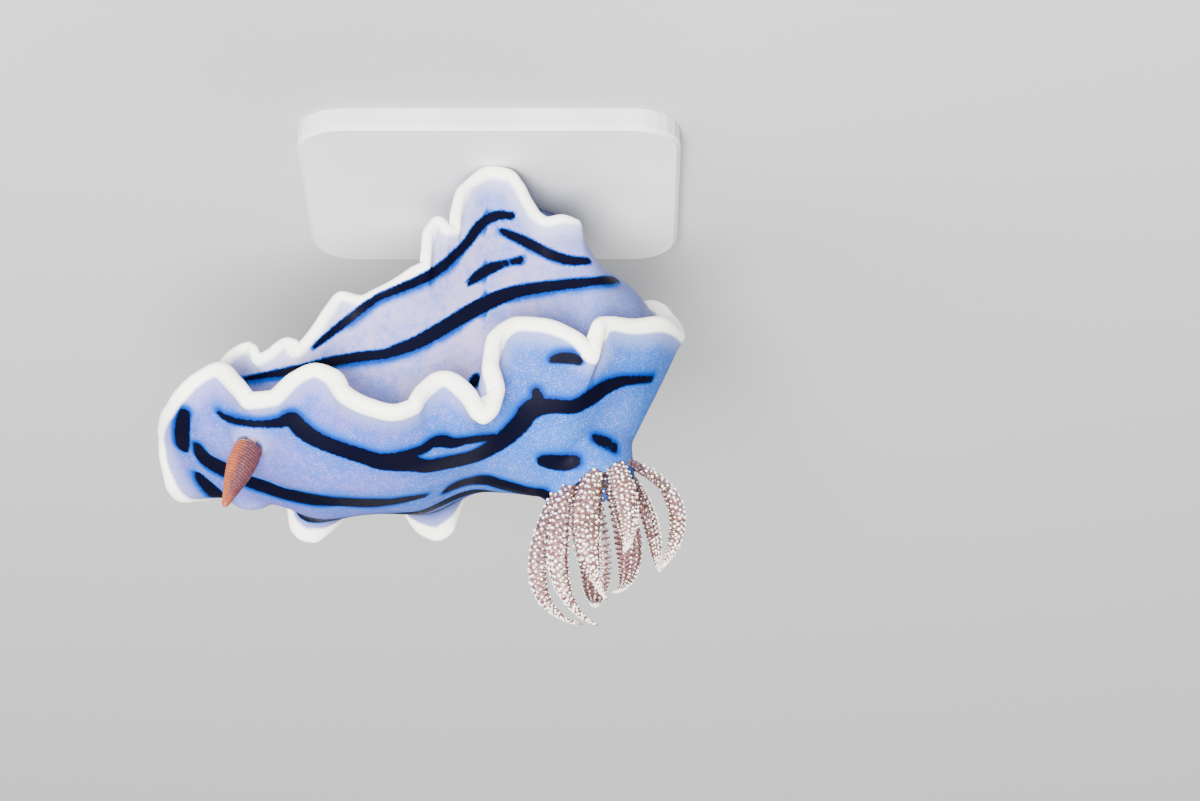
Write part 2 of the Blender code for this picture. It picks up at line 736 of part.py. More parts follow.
def plume_mesh(name, row):
    """One gill plume: a tapering stem with a row of leaflets on each side, shortest at both ends."""
    bearing = math.radians(row[0])
    *arch, width = np.array(row[2:]) * MM
    share = np.linspace(0.0, 1.0, PLUME_STEPS)
    line, way, side = plume_line(bearing, row[1], *arch, share)
    along = np.gradient(line, axis=0)
    along /= np.linalg.norm(along, axis=1, keepdims=True)
    face = np.cross(side, along)
    half = width / 2 * np.interp(share, (0.0, 0.4, 0.75, 1.0), (0.5, 1.0, 0.75, 0.2))
    wide = STEM_SHARE * half + STEM_LEAST
    rings = [np.array([line[k] + wide[k] * (math.cos(a) * side + 0.85 * math.sin(a) * face[k])
                       for a in np.arange(STEM_SIDES) * TURN / STEM_SIDES])
             for k in range(PLUME_STEPS)]
    leaflets = []
    for place in np.linspace(FIRST_LEAFLET, LAST_LEAFLET, LEAFLETS):
        root, lead, front = (np.array([np.interp(place, share, table[:, axis]) for axis in range(3)])
                             for table in (line, along, face))
        length = np.interp(place, share, half)
        for hand in (-1.0, 1.0):
            out = hand * side * 0.93 - 0.25 * front + 0.25 * lead
            leaflets.append(leaflet_mesh(f"{name}_leaflet", root, out, lead, length))
    return fuse(capped_loft(name, rings), leaflets)


def leaflet_mesh(name, root, out, lead, length):
    """A leaflet: a three-sided tapering lobe that points outwards from inside the stem, thin along the plume."""
    shape = bmesh.new()
    bmesh.ops.create_cone(shape, cap_ends=True, cap_tris=False, segments=3, depth=length,
                          radius1=LEAFLET_RADIUS, radius2=LEAFLET_RADIUS * LEAFLET_TAPER)
    bmesh.ops.translate(shape, verts=shape.verts, vec=(0, 0, length / 2))
    bmesh.ops.triangulate(shape, faces=shape.faces)
    mesh = bpy.data.meshes.new(name)
    shape.to_mesh(mesh)
    shape.free()
    out = Vector(out).normalized()
    lead = (Vector(lead) - Vector(lead).dot(out) * out).normalized()
    turn = Matrix((lead, out.cross(lead), out)).transposed().to_4x4()
    mesh.transform(Matrix.Translation(Vector(root) + Vector(SHIFT)) @ turn @ Matrix.Diagonal((0.8, 1.1, 1.0, 1.0)))
    return mesh


def base_mesh():
    """The display base: a flat plate with round corners and a small bevel round its top."""
    half = np.array((BASE_LENGTH, BASE_WIDTH)) / 2 - BASE_CORNER
    corners = np.array(((1.0, 1.0), (-1.0, 1.0), (-1.0, -1.0), (1.0, -1.0)))
    turns = np.linspace(0.0, TURN / 4, BASE_CORNER_STEPS)
    rings = []
    for inset, height in ((0.0, -BASE_THICKNESS), (0.0, -BASE_BEVEL), (BASE_BEVEL, 0.0)):
        ring = []
        for number, corner in enumerate(corners):
            angles = turns + number * TURN / 4
            arc = np.column_stack((np.cos(angles), np.sin(angles))) * (BASE_CORNER - inset)
            ring.append(BASE_MIDDLE + corner * half + arc)
        flat = np.concatenate(ring)
        rings.append(np.column_stack((flat, np.full(len(flat), height - GAP))))
    return capped_loft("stand_base", rings)


def clear_scene():
    for item in list(bpy.data.objects):
        bpy.data.objects.remove(item)


def build():
    clear_scene()
    parts = bpy.data.collections.new("nudibranch")
    bpy.context.scene.collection.children.link(parts)

    mantle = mantle_mesh()
    cups = []
    for hand, size in RHINOPHORES.items():
        sheath = cup(f"sheath_{hand}", SHEATH_RADIUS, SHEATH_WALL, SHEATH_HEIGHT, SHEATH_SINK, SHEATH_FLARE, 14)
        cups.append(standing(sheath, sheath_floor(size), size["way"]))
    pocket = cup("pocket", POCKET_RADIUS, POCKET_WALL, POCKET_HEIGHT, POCKET_SINK, POCKET_FLARE, 28)
    cups.append(standing(pocket, CROWN_CENTRE, CROWN_WAY))
    add_object("mantle", fuse(mantle, cups), material_of("mantle_skin", SKIN, 0.35), parts)

    trunk = trunk_mesh()
    head_cut = Vector((HEAD_CUT, 0, 0))
    head_gap = Vector((GAP / 2, 0, 0))
    add_object("trunk", cut_off(trunk, "trunk", head_cut - head_gap, Vector((1, 0, 0))),
               material_of("flank_skin", PALE_SKIN, 0.35), parts)
    head = cut_off(trunk, "head", head_cut + head_gap, Vector((-1, 0, 0)))
    add_object("head", fuse(head, [lips_mesh()]), material_of("head_skin", PALE_SKIN, 0.35), parts)
    for hand, side in (("right", 1.0), ("left", -1.0)):
        name = f"oral_tentacle_{hand}"
        add_object(name, tentacle_mesh(name, side), material_of(f"{name}_skin", PALE_SKIN, 0.35), parts)

    foot = foot_mesh()
    tail_cut = Vector(TAIL_CUT) + Vector(SHIFT)
    tail_way = Vector(TAIL_WAY).normalized()
    add_object("foot", cut_off(foot, "foot", tail_cut - tail_way * GAP / 2, tail_way),
               material_of("foot_skin", PALE_SKIN, 0.35), parts)
    add_object("tail", cut_off(foot, "tail", tail_cut + tail_way * GAP / 2, -tail_way),
               material_of("tail_skin", PALE_SKIN, 0.35), parts)

    for hand, size in RHINOPHORES.items():
        club = turned(f"rhinophore_{hand}", club_profile(size["length"] * MM, size["width"] * MM), 12)
        way = np.array(size["way"]) / np.linalg.norm(size["way"])
        standing(club, sheath_floor(size) + GAP * way, way)
        add_object(f"rhinophore_{hand}", club, material_of(f"club_{hand}", CLUB, 0.3), parts)

    for number, row in enumerate(PLUMES, 1):
        name = f"gill_{number}"
        add_object(name, plume_mesh(name, row), material_of(f"{name}_skin", GILL, 0.35), parts)

    add_object("stand_base", base_mesh(), material_of("base", BASE_GREY, 0.5), parts)


build()
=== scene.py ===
"""A nudibranch, life size, hanging on by the rear half of its foot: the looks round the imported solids.

Metres, +Z up. The head points along +X and the animal's right side faces -Y.
"""

import math

import bmesh
import bpy
import numpy as np
from mathutils import Matrix, Vector
from mathutils.bvhtree import BVHTree
from numpy.linalg import norm


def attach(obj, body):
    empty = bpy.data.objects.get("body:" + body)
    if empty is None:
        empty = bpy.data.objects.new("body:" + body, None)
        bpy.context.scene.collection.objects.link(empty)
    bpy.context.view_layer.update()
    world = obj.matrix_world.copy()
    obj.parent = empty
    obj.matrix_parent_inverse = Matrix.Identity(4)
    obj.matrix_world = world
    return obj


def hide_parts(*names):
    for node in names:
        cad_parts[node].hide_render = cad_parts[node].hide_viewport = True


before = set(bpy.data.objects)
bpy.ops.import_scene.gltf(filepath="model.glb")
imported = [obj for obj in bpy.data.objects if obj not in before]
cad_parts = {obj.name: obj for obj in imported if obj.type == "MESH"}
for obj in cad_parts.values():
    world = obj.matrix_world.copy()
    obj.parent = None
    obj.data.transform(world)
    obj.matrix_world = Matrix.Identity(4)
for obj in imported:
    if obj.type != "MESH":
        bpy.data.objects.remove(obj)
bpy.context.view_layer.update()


# The camera. It looks at the animal's right side from a little above, and is rolled upside down: the
# animal's pose is a hanging one, foot up and gills down, and here it stands on a floor.
MM = 0.001
TURN = 2 * math.pi


def mm(*numbers):
    """Millimetres, or rows of them, as an array in metres."""
    return np.array(numbers) * MM


# Where the animal's own origin is in the frame: on the base, under the middle of its neck.
PLACE = mm(0.15, -1.0, 1.72)
LOOK_DOWN = math.radians(22.0)
LOOK_FROM = 250 * MM
LOOK_AT = mm(-11.1, 0.0, 13.1 / math.cos(LOOK_DOWN)) + PLACE
PHOTO_WIDTH = 1200
PHOTO_HEIGHT = 801
PIXELS_A_MM = 16.0
# The focal length in pixels.
FOCAL = PIXELS_A_MM / MM * LOOK_FROM
SENSOR = 36.0

sight = np.array((0.0, math.cos(LOOK_DOWN), -math.sin(LOOK_DOWN)))
upward = np.array((0.0, math.sin(LOOK_DOWN), math.cos(LOOK_DOWN)))
eye = LOOK_AT - sight * LOOK_FROM

camera = bpy.data.objects.new("camera", bpy.data.cameras.new("camera"))
bpy.context.scene.collection.objects.link(camera)
bpy.context.scene.camera = camera
camera.data.sensor_width = SENSOR
camera.data.lens = FOCAL / PHOTO_WIDTH * SENSOR
camera.data.clip_start = 10 * MM
camera.matrix_world = Matrix((
    (-1.0, -upward[0], -sight[0], eye[0]),
    (0.0, -upward[1], -sight[1], eye[1]),
    (0.0, -upward[2], -sight[2], eye[2]),
    (0.0, 0.0, 0.0, 1.0),
))


# The skin. One soft, seamless body: a mantle with a frilled skirt, the flanks under it and a broad foot,
# all grown as one skin. Each point is worked out from an angle round the body and a share of the way
# from the back line over the skirt and down the flank to the sole.
MANTLE_REACH = 16.4 * MM
# A row of an edge is its station along the reach, its shift from there, its side and its height.
EDGE_FRONT = mm(-0.15, 0.2, 16.5)
EDGE_RIGHT = mm(
    (15.6, -0.1, -3.1, 16.2), (14.6, 0, -4.9, 15.8), (13.7, 0, -5.5, 15.1), (12.4, 0, -6.3, 14.7),
    (11.4, 0, -6.8, 15.9), (10.3, 0, -7.2, 17.2), (8.7, 0, -7.2, 17), (7.4, 0, -7.3, 15.7),
    (6.3, 0, -7.4, 15.2), (5.3, 0, -7.6, 15.7), (4.8, 0, -7.7, 16.7), (3.2, 0, -8, 17.9),
    (1.4, 0, -8.2, 18.5), (-0.1, 0, -8.2, 18), (-0.7, 0, -8, 16.8), (-1.6, 0, -7.9, 16),
    (-2.8, 0, -8.1, 17.1), (-3.4, -0.1, -8.2, 18.5), (-4.1, 0, -8.2, 18.9), (-4.8, -0.1, -8.3, 18.3),
    (-5.2, -0.1, -8.2, 16.9), (-5.5, 0.6, -8.1, 14.9), (-5.8, 0.7, -8, 13.2), (-6.4, 0.3, -7.8, 12.3),
    (-7.9, 0, -7.9, 12.5), (-9.7, 0, -7.6, 13.2), (-10.9, 0, -7.1, 14.2), (-11.2, 0, -7, 13.1),
    (-11.6, 0.1, -6.9, 11.9), (-13.1, 0, -5.9, 11.7), (-14.8, 0, -4.8, 11.1),
)
EDGE_REAR = mm(0.0, 0.0, 9.9)
EDGE_LEFT = mm(
    (15.9, 0.25, 2.2, 17.8), (15.5, 0.3, 3.6, 18.8), (15, 0.3, 4.7, 19), (14.2, 0.3, 5.6, 18.7),
    (13, 0.2, 6, 18.3), (10.2, 0, 6.9, 16.6), (9, 0, 7.2, 17.6), (8.3, 0.2, 7.4, 19.9),
    (7.8, 0, 7.6, 20.5), (7, 0, 7.7, 20.6), (6.2, 0, 7.6, 20.1), (5.1, 0, 7.5, 19),
    (3.2, 0, 7.4, 17.3), (1.8, 0, 7.6, 17.8), (1.1, 0, 7.8, 19.2), (0.3, 0, 8, 20),
    (-0.7, 0, 8.1, 20.3), (-1.6, 0, 8, 19.9), (-2.4, 0, 7.8, 17.7), (-3.8, 0, 7.4, 15.2),
    (-6.6, 0, 7.8, 16.4), (-9.2, 0, 7, 12.6), (-11.8, 0, 6.4, 12.4), (-13.2, 0, 5, 8.4),
    (-14.3, 0, 3.6, 6.6), (-15.2, 0, 2.4, 7.2), (-15.9, 0, 1.3, 8.5),
)
EDGE_THICKNESS = 0.8 * MM
BACK_FRONT = 10.6 * MM
BACK_REAR = -10.8 * MM
BACK = mm(
    (11.5, 18.1), (8.6, 19.8), (4.6, 21.1), (0.4, 20.8), (-3.3, 19.5), (-7.2, 20.3), (-11.5, 19.3),
)
MEAN_FRONT = mm(0.1, 0.2, 17.2)
MEAN_RIGHT = mm(
    (14.9, 0.3, -4.4, 15.8), (10.4, 0, -6.9, 16), (3.6, 0, -7.9, 16.6), (-3, 0, -8.1, 16),
    (-8.6, 0, -7.7, 13), (-12, 0, -6.7, 12.2), (-14.6, -0.2, -4.8, 11.2),
)
MEAN_REAR = mm(0.0, 0.0, 10.0)
MEAN_LEFT = mm(
    (14.9, -0.2, 4.6, 18.2), (10.2, 0, 6.9, 17.6), (3.4, 0, 7.6, 17.4), (-3.8, 0, 7.6, 16.4),
    (-9.2, 0, 7.2, 13.6), (-14.6, -0.2, 4, 9.6),
)
SHOULDER_DROP = 0.42
# How far out the back stays level and its shoulder lies: along the sides, and at the rear end.
CROWN_REACH = (0.5, 0.28)
SHOULDER_REACH = (0.74, 0.52)
# Where the rear end begins and how soon the body goes over to it, in shares of the reach, and the same
# for the left of the rear end, in radians round the body.
REAR_FROM = 0.62
REAR_OVER = 0.28
LEFT_FROM = 2.9
LEFT_OVER = 0.38
# The folds of an edge are rounded off this far round the body, and fade over this share of the way in.
FOLD_SPREAD = np.linspace(-0.09, 0.09, 7)
FOLD_FADE = 0.4
# The skirt's lower face gains its folds this much faster than the way out.
FOLD_GAIN = 1.6
NECK = np.array((
    (16.4, 0.30), (10, 0.42), (0, 0.46), (-6, 0.50), (-11, 0.52), (-16.4, 0.64),
))
NECK_THICKNESS = 1.9 * MM
FOOT_REACH = 12.9 * MM
FOOT_FRONT = mm(0.0, 0.0, 12.5)
FOOT_RIGHT = mm(
    (12.3, 0.1, -2, 12.8), (11.7, 0, -2.8, 12.3), (10.7, 0, -3.7, 12.2), (10.2, 0, -3.8, 13.2),
    (9.2, 0, -4.1, 12.8), (8.2, 0, -4.3, 12.1), (7.6, 0, -4.2, 12.8), (7, 0, -4.3, 12.2),
    (6.1, 0, -4.5, 11), (5.5, 0, -4.6, 9.9), (4.9, 0, -4.7, 9.1), (3.7, 0, -4.6, 9.4),
    (2.6, 0, -4.6, 8.9), (1.3, 0, -4.7, 8.2), (0.3, 0, -4.7, 7.4), (-0.5, 0, -4.9, 7),
    (-0.7, 0.1, -4.9, 5.9), (-1, 0.3, -4.8, 4.5), (-1.3, 0.3, -4.8, 4), (-1.7, 0, -4.6, 4.6),
    (-2.3, 0, -4.3, 4.4), (-2.5, 0.1, -4.3, 3), (-2.8, 0.1, -4.2, 1.5), (-3.3, 0, -4.1, 0.9),
    (-4.3, 0, -3.9, 0.5), (-5.4, 0, -4, 0.7), (-5.9, 0, -4.2, 1.3), (-6.4, 0, -4.4, 2.5),
    (-7, 0, -4.7, 3.6), (-7.8, 0, -4.8, 4.1), (-8.8, 0, -4.8, 3.9), (-9.7, -0.1, -4.4, 3.9),
    (-10.2, 0.1, -3.2, 4.6), (-10.9, 0.5, -1, 5), (-12, 1, 3, 3.8), (-12.7, 1.9, 7.4, 2.5),
)
FOOT_REAR = mm(2.0, 10.0, 1.6)
FOOT_LEFT = mm(
    (12.2, 0.2, 2, 12.4), (10.2, 0, 3.8, 11.6), (8, 0, 4.3, 11.9), (5.6, 0, 4.7, 8.6),
    (3.6, 0, 4.7, 6.6), (1.4, 0, 5, 4.4), (0.2, 0, 5.2, 3.2), (-0.8, 0, 5.3, 0.5),
    (-2, 0, 5.3, 0.5), (-4.5, 0, 5, 0.5), (-7.5, 0, 5.4, 0.5), (-10, 0.8, 6.4, 0.5),
    (-12, 1.7, 9, 1),
)
FOOT_THICKNESS = 0.6 * MM
SOLE = mm(
    (-12.9, 2.3, 9.2, 1), (-11.5, 1.3, 6.8, 0.9), (-9, 0.6, 3.8, 0), (-5, 0.2, 1.2, 0),
    (-2.7, 0, 0.6, 0), (-1.5, 0, 0.5, 1.5), (0.2, 0, 0.3, 4.4), (3.2, 0, 0, 6.6), (6, 0, 0, 9.4),
    (9, -0.4, 0, 11), (12.9, -1.8, 0, 11.8),
)
# The flank is tucked in under the neck and over the foot, and bulges at the right of the rear end.
FLANK_TUCK = mm(0.8, -4.6)
FLANGE_TUCK = mm(1.5, -4.6)
# How far down the flank leaves the neck and how far up it leaves the foot, as shares of its height.
NECK_DROP = 0.34
FLANGE_RISE = 0.2
# The soft sole sinks this far onto the base wherever it comes close to it.
CONTACT = 0.9 * MM
SOLE_SINK = 0.34 * MM
# Grid: steps round the body, and rings over the back, rim, underside, flank, foot edge and sole.
SKIN_STEPS = 680
BACK_RINGS = 58
RIM_RINGS = 5
UNDER_RINGS = 18
FLANK_RINGS = 40
FOOT_RIM_RINGS = 5
SOLE_RINGS = 9
FINE_ANGLES = 1441
SMALL_STEP = 1e-3
LEVEL = np.array((1.0, 1.0, 0.0))


def eased(table, at):
    """Smooth curve through a table whose first column is the knot: a cubic from knot to knot. Its slope
    at a knot is the harmonic mean of those on the two sides, and nothing at a crest or a hollow."""
    knots = table[:, 0]
    values = table[:, 1:]
    step = np.diff(knots)[:, None]
    slope = np.diff(values, axis=0) / step
    same = slope[:-1] * slope[1:] > 0
    total = np.where(same, slope[:-1] + slope[1:], 1.0)
    inner = np.where(same, 2 * slope[:-1] * slope[1:] / total, 0.0)
    tangent = np.concatenate((slope[:1], inner, slope[-1:]))
    index = np.clip(np.searchsorted(knots, at, side="right") - 1, 0, len(step) - 1)
    width = step[index]
    u = np.clip((at[..., None] - knots[index][..., None]) / width, 0.0, 1.0)
    start = (1 + 2 * u) * (1 - u) ** 2 * values[index] + u * (1 - u) ** 2 * width * tangent[index]
    end = u * u * (3 - 2 * u) * values[index + 1] + u * u * (u - 1) * width * tangent[index + 1]
    return start + end


def smooth(share):
    """A soft step from 0 to 1, level at both ends."""
    share = np.clip(share, 0.0, 1.0)
    return share * share * (3 - 2 * share)


def ring_table(reach, front, right, rear, left):
    """An edge's rows as one table over the angle round the body, with a turn to spare at each end."""
    right_angle = np.arccos(right[:, 0] / reach)
    left_angle = TURN - np.arccos(left[::-1, 0] / reach)
    angle = np.concatenate(((0.0,), right_angle, (math.pi,), left_angle))
    points = np.concatenate((front[None], right[:, 1:], rear[None], left[::-1, 1:]))
    rows = np.column_stack((angle, points))
    turn = np.array((TURN, 0, 0, 0))
    return np.concatenate((rows - turn, rows, rows + turn))


MANTLE_TABLE = ring_table(MANTLE_REACH, EDGE_FRONT, EDGE_RIGHT, EDGE_REAR, EDGE_LEFT)
MEAN_TABLE = ring_table(MANTLE_REACH, MEAN_FRONT, MEAN_RIGHT, MEAN_REAR, MEAN_LEFT)
FOOT_TABLE = ring_table(FOOT_REACH, FOOT_FRONT, FOOT_RIGHT, FOOT_REAR, FOOT_LEFT)


def edge(table, reach, angle):
    """A point of an edge: its station is the reach times the cosine of the angle, shifted by the table,
    which also gives its side and its height."""
    value = eased(table, angle)
    return np.stack((reach * np.cos(angle) + value[..., 0], value[..., 1], value[..., 2]), axis=-1)


def soft_edge(table, reach, angle, share):
    """The edge that a point inside it follows: with a growing share, its mean to both sides."""
    point = edge(table, reach, angle)
    mean = sum(edge(table, reach, angle + step) for step in FOLD_SPREAD) / len(FOLD_SPREAD)
    return point + smooth(share / FOLD_FADE)[..., None] * (mean - point)


def at_rear(pair, angle):
    """A value along the sides of the body, going over to another at its rear end."""
    return (pair[0] + (pair[1] - pair[0]) * smooth((-np.cos(angle) - REAR_FROM) / REAR_OVER))[..., None]


def tucked(pair, angle):
    """A value along the sides of the body, going over to another at the right of its rear end."""
    left = smooth((angle % TURN - LEFT_FROM) / LEFT_OVER)[..., None]
    return at_rear(pair, angle) * (1 - left) + pair[0] * left


def back_line(angle):
    """Where on the back line an angle starts: along the middle, by the cosine of the angle."""
    x = (BACK_FRONT + BACK_REAR) / 2 + (BACK_FRONT - BACK_REAR) / 2 * np.cos(angle)
    return np.stack((x, np.zeros_like(x), eased(BACK[::-1], x)[..., 0]), axis=-1)


def unit(vectors):
    """The same vectors, each one long."""
    return vectors / norm(vectors, axis=-1, keepdims=True)


def bezier(a, b, c, d, u):
    """The cubic curve from a to d, drawn towards b as it leaves and from c as it arrives."""
    v = 1 - u
    return v**3 * a + 3 * v * v * u * b + 3 * v * u * u * c + u**3 * d


def dome(angle, across, rim_point):
    """From the back line level outwards, over the shoulder and out to a rim, as one cubic curve."""
    top = back_line(angle)
    out = (rim_point - top) * LEVEL
    mean = edge(MEAN_TABLE, MANTLE_REACH, angle)[..., 2]
    shoulder = top + at_rear(SHOULDER_REACH, angle) * out
    shoulder[..., 2] = top[..., 2] + SHOULDER_DROP * (mean - top[..., 2])
    return bezier(top, top + at_rear(CROWN_REACH, angle) * out, shoulder, rim_point, across[..., None])


def dorsum(angle, across):
    """The mantle's upper face, out to its folded edge."""
    return dome(angle, across, soft_edge(MANTLE_TABLE, MANTLE_REACH, angle, 1 - across))


def plain_dorsum(angle, across):
    """The same face as it would be if the edge had no folds."""
    return dome(angle, across, edge(MEAN_TABLE, MANTLE_REACH, angle))


def facing(surface, angle, along):
    """The unit normal of a surface: the cross product of small steps round the body and outwards."""
    inward = np.minimum(along, 1 - SMALL_STEP)
    round_body = surface(angle + SMALL_STEP, inward) - surface(angle - SMALL_STEP, inward)
    outward = surface(angle, inward + SMALL_STEP) - surface(angle, np.maximum(inward - SMALL_STEP, 0.0))
    return unit(np.cross(round_body, outward))


def underside(angle, share):
    """The skirt's lower face: the upper face less the thickness, its folds fading towards the neck."""
    start = eased(NECK[::-1] * np.array((MM, 1.0)), MANTLE_REACH * np.cos(angle))[..., 0]
    across = start + (1 - start) * share
    thickness = (NECK_THICKNESS + (EDGE_THICKNESS - NECK_THICKNESS) * share)[..., None]
    folded = dorsum(angle, across) - facing(dorsum, angle, across) * thickness
    plain = plain_dorsum(angle, across) - facing(plain_dorsum, angle, across) * thickness
    return plain + np.minimum(1.0, FOLD_GAIN * share)[..., None] * (folded - plain)


def flank(angle, down):
    """The side of the body: a cubic curve from the neck down, tucked in, and out to the foot's edge."""
    start = underside(angle, np.zeros_like(down))
    end = soft_edge(FOOT_TABLE, FOOT_REACH, angle, 1 - down)
    flange = soft_edge(FOOT_TABLE, FOOT_REACH, angle, np.ones_like(down))
    out = unit((start - back_line(angle)) * LEVEL)
    drop = (1 - LEVEL) * (start - flange)
    under_neck = start - NECK_DROP * drop - tucked(FLANK_TUCK, angle) * out
    over_foot = flange + FLANGE_RISE * drop - tucked(FLANGE_TUCK, angle) * out
    return bezier(start, under_neck, over_foot, end, down[..., None])


def rolled_edge(surface, angle, thickness, turn):
    """A point on a surface's round edge: half a turn of a circle from its upper to its lower face."""
    end = np.ones_like(angle)
    normal = facing(surface, angle, end)
    way = unit(surface(angle, end) - surface(angle, end - SMALL_STEP))
    swing = math.pi * turn[..., None]
    middle = surface(angle, end) - normal * thickness / 2
    return middle + thickness / 2 * (normal * np.cos(swing) + way * np.sin(swing))


def even_angles(count):
    """Angles set close where the edges are longest, the same at both sides so that the halves meet."""
    half = np.linspace(0.0, math.pi, FINE_ANGLES)
    lengths = [norm(np.diff(edge(table, reach, angle), axis=0), axis=1)
               for table, reach in ((MANTLE_TABLE, MANTLE_REACH), (FOOT_TABLE, FOOT_REACH))
               for angle in (half, TURN - half)]
    run = np.concatenate(((0.0,), np.cumsum(np.max(lengths, axis=0))))
    steps = np.interp(np.linspace(0.0, run[-1], count // 2 + 1), run, half)
    return np.concatenate((steps, TURN - steps[-2:0:-1]))


skin_angle = even_angles(SKIN_STEPS)


def band(surface, shares):
    """One band of the skin: a surface at every angle and at these shares, a ring for each share."""
    return surface(*np.meshgrid(skin_angle, shares))


def mantle_rim(angle, turn):
    """The skirt's round edge."""
    return rolled_edge(dorsum, angle, EDGE_THICKNESS, turn)


def foot_rim(angle, turn):
    """The foot's round edge."""
    return rolled_edge(flank, angle, FOOT_THICKNESS, turn)


def sole(angle, share):
    """The underside of the foot: a straight line from the foot's edge to the middle line of the sole."""
    station = FOOT_REACH * np.cos(angle)
    value = eased(SOLE, station)
    middle = np.stack((station + value[..., 0], value[..., 1], value[..., 2]), axis=-1)
    start = foot_rim(angle, np.ones_like(angle))
    return start + share[..., None] * (middle - start)


bands = (
    band(dorsum, np.linspace(0.0, 1.0, BACK_RINGS)),
    band(mantle_rim, np.linspace(0.0, 1.0, RIM_RINGS + 2)[1:-1]),
    band(underside, np.linspace(1.0, 0.0, UNDER_RINGS)),
    band(flank, np.linspace(0.0, 1.0, FLANK_RINGS)[1:]),
    band(foot_rim, np.linspace(0.0, 1.0, FOOT_RIM_RINGS + 2)[1:-1]),
    band(sole, np.linspace(0.0, 1.0, SOLE_RINGS)),
)
band_ends = np.cumsum([len(rings) for rings in bands])
skin = np.concatenate(bands)
ring_number = np.arange(len(skin))
mantle_edge = band_ends[0] + RIM_RINGS // 2
foot_edge = band_ends[3] + FOOT_RIM_RINGS // 2


def least_gap(points, curve, reach):
    """How far each point is from a closed edge: the least distance to the edge's points at its own step
    and at so many steps each way."""
    least = np.full(points.shape[:2], 1.0)
    for step in range(-reach, reach + 1):
        least = np.minimum(least, norm(points - np.roll(curve, step, axis=0), axis=-1))
    return least


# The rolled edges are a little thicker than the skin inside them. The skin is faintly uneven: crossed
# waves of 6 to 9 mm, in radians a metre, start a few rings from the back line.
EDGE_SWELL = 0.09 * MM
EDGE_ROLL = 1.3 * MM
EDGE_FADE = 0.6 * EDGE_ROLL
FOOT_SWELL = 0.5 * EDGE_SWELL
FOOT_FADE = 0.8 * EDGE_ROLL
UNEVEN = 0.035 * MM
WAVES = (900, 700)
CROSS_WAVES = (1100, 800)
WAVE_BEND = 1.7
EVEN_RINGS = 2
WAVE_RINGS = 8
MANTLE_LOOK = 26
FOOT_LOOK = 20
rim_gap = least_gap(skin, skin[mantle_edge], MANTLE_LOOK)
foot_gap = least_gap(skin, skin[foot_edge], FOOT_LOOK)


def surface_normals(points):
    """The unit normal at each point of a ring grid: the cross product of the steps to its neighbours."""
    around = np.roll(points, -1, axis=1) - np.roll(points, 1, axis=1)
    along = np.gradient(points, axis=0)
    normal = np.cross(around, along)
    return normal / np.maximum(norm(normal, axis=-1, keepdims=True), 1e-12)


swell = EDGE_SWELL * smooth((EDGE_ROLL - rim_gap) / EDGE_FADE)
swell += FOOT_SWELL * smooth((EDGE_ROLL - foot_gap) / FOOT_FADE)
wave = np.sin(skin[..., 0] * WAVES[0] + WAVE_BEND * np.sin(skin[..., 1] * WAVES[1]))
wave = wave * np.sin(skin[..., 1] * CROSS_WAVES[0] + skin[..., 2] * CROSS_WAVES[1])
swell += UNEVEN * wave * smooth((ring_number - EVEN_RINGS) / WAVE_RINGS)[:, None]
skin = skin + surface_normals(skin) * swell[..., None]
# The sole spreads flat on the base.
skin[..., 2] -= SOLE_SINK * smooth((CONTACT - skin[..., 2]) / CONTACT)
skin[..., 2] = np.maximum(skin[..., 2], -SOLE_SINK)


CUP_LIMIT = 3 * MM


def raised(points, rings, place, way, profile, blend):
    """Turns a round patch of the skin into a cup: its height over the place along the way follows the
    profile of radius and height, and fades back to the skin between the blend's two radii. Skin further
    off than the limit, such as the other side of a fold, stays."""
    way = unit(way)
    offset = points[rings] - place
    height = offset @ way
    radius = norm(offset - height[..., None] * way, axis=-1)
    wanted = eased(profile, radius)[..., 0]
    share = smooth((blend[1] - radius) / (blend[1] - blend[0])) * (np.abs(height) < CUP_LIMIT)
    points[rings] += (share * (wanted - height))[..., None] * way


# The gills' pocket, the rhinophores' two sheaths and the lips are raised from the skin.
CROWN_CENTRE = mm(-10.7, 0.0, 19.4)
CROWN_WAY = np.array((-0.36, 0.0, 0.93))
POCKET_CENTRE = CROWN_CENTRE + mm(0.3, 0.0, 0.0)
POCKET_PROFILE = mm(
    (0, -0.5), (1.9, -0.45), (2.2, -0.1), (2.45, 0.65), (2.65, 0.85), (2.85, 0.6), (3.1, 0.1),
    (3.8, -0.8),
)
POCKET_BLEND = mm(2.7, 3.5)
# Each sheath's place as seen from above, in mm, and the way it points.
SHEATHS = {
    "right": {"place": (10.1, -4.6), "way": (0.27, -0.25, 0.93)},
    "left": {"place": (11.0, 4.8), "way": (0.10, 0.65, 0.75)},
}
SHEATH_PROFILE = mm(
    (0, -0.2), (0.45, -0.1), (0.7, 0.18), (0.88, 0.42), (1.05, 0.34), (1.4, 0.12), (2.0, 0),
)
SHEATH_BLEND = mm(1.1, 2.0)
back_rings = slice(0, band_ends[0])
raised(skin, back_rings, POCKET_CENTRE, CROWN_WAY, POCKET_PROFILE, POCKET_BLEND)
for sheath in SHEATHS.values():
    flat = skin[back_rings].reshape(-1, 3)
    nearest = np.argmin(np.sum((flat[:, :2] - mm(*sheath["place"])) ** 2, axis=1))
    sheath["foot"] = flat[nearest].copy()
    raised(skin, back_rings, sheath["foot"], np.array(sheath["way"]), SHEATH_PROFILE, SHEATH_BLEND)
MOUTH_DOWN = 0.42
LIP_PROFILE = mm(
    (0, -0.5), (0.25, -0.35), (0.5, 0.15), (0.75, 0.32), (1.0, 0.2), (1.5, 0),
)
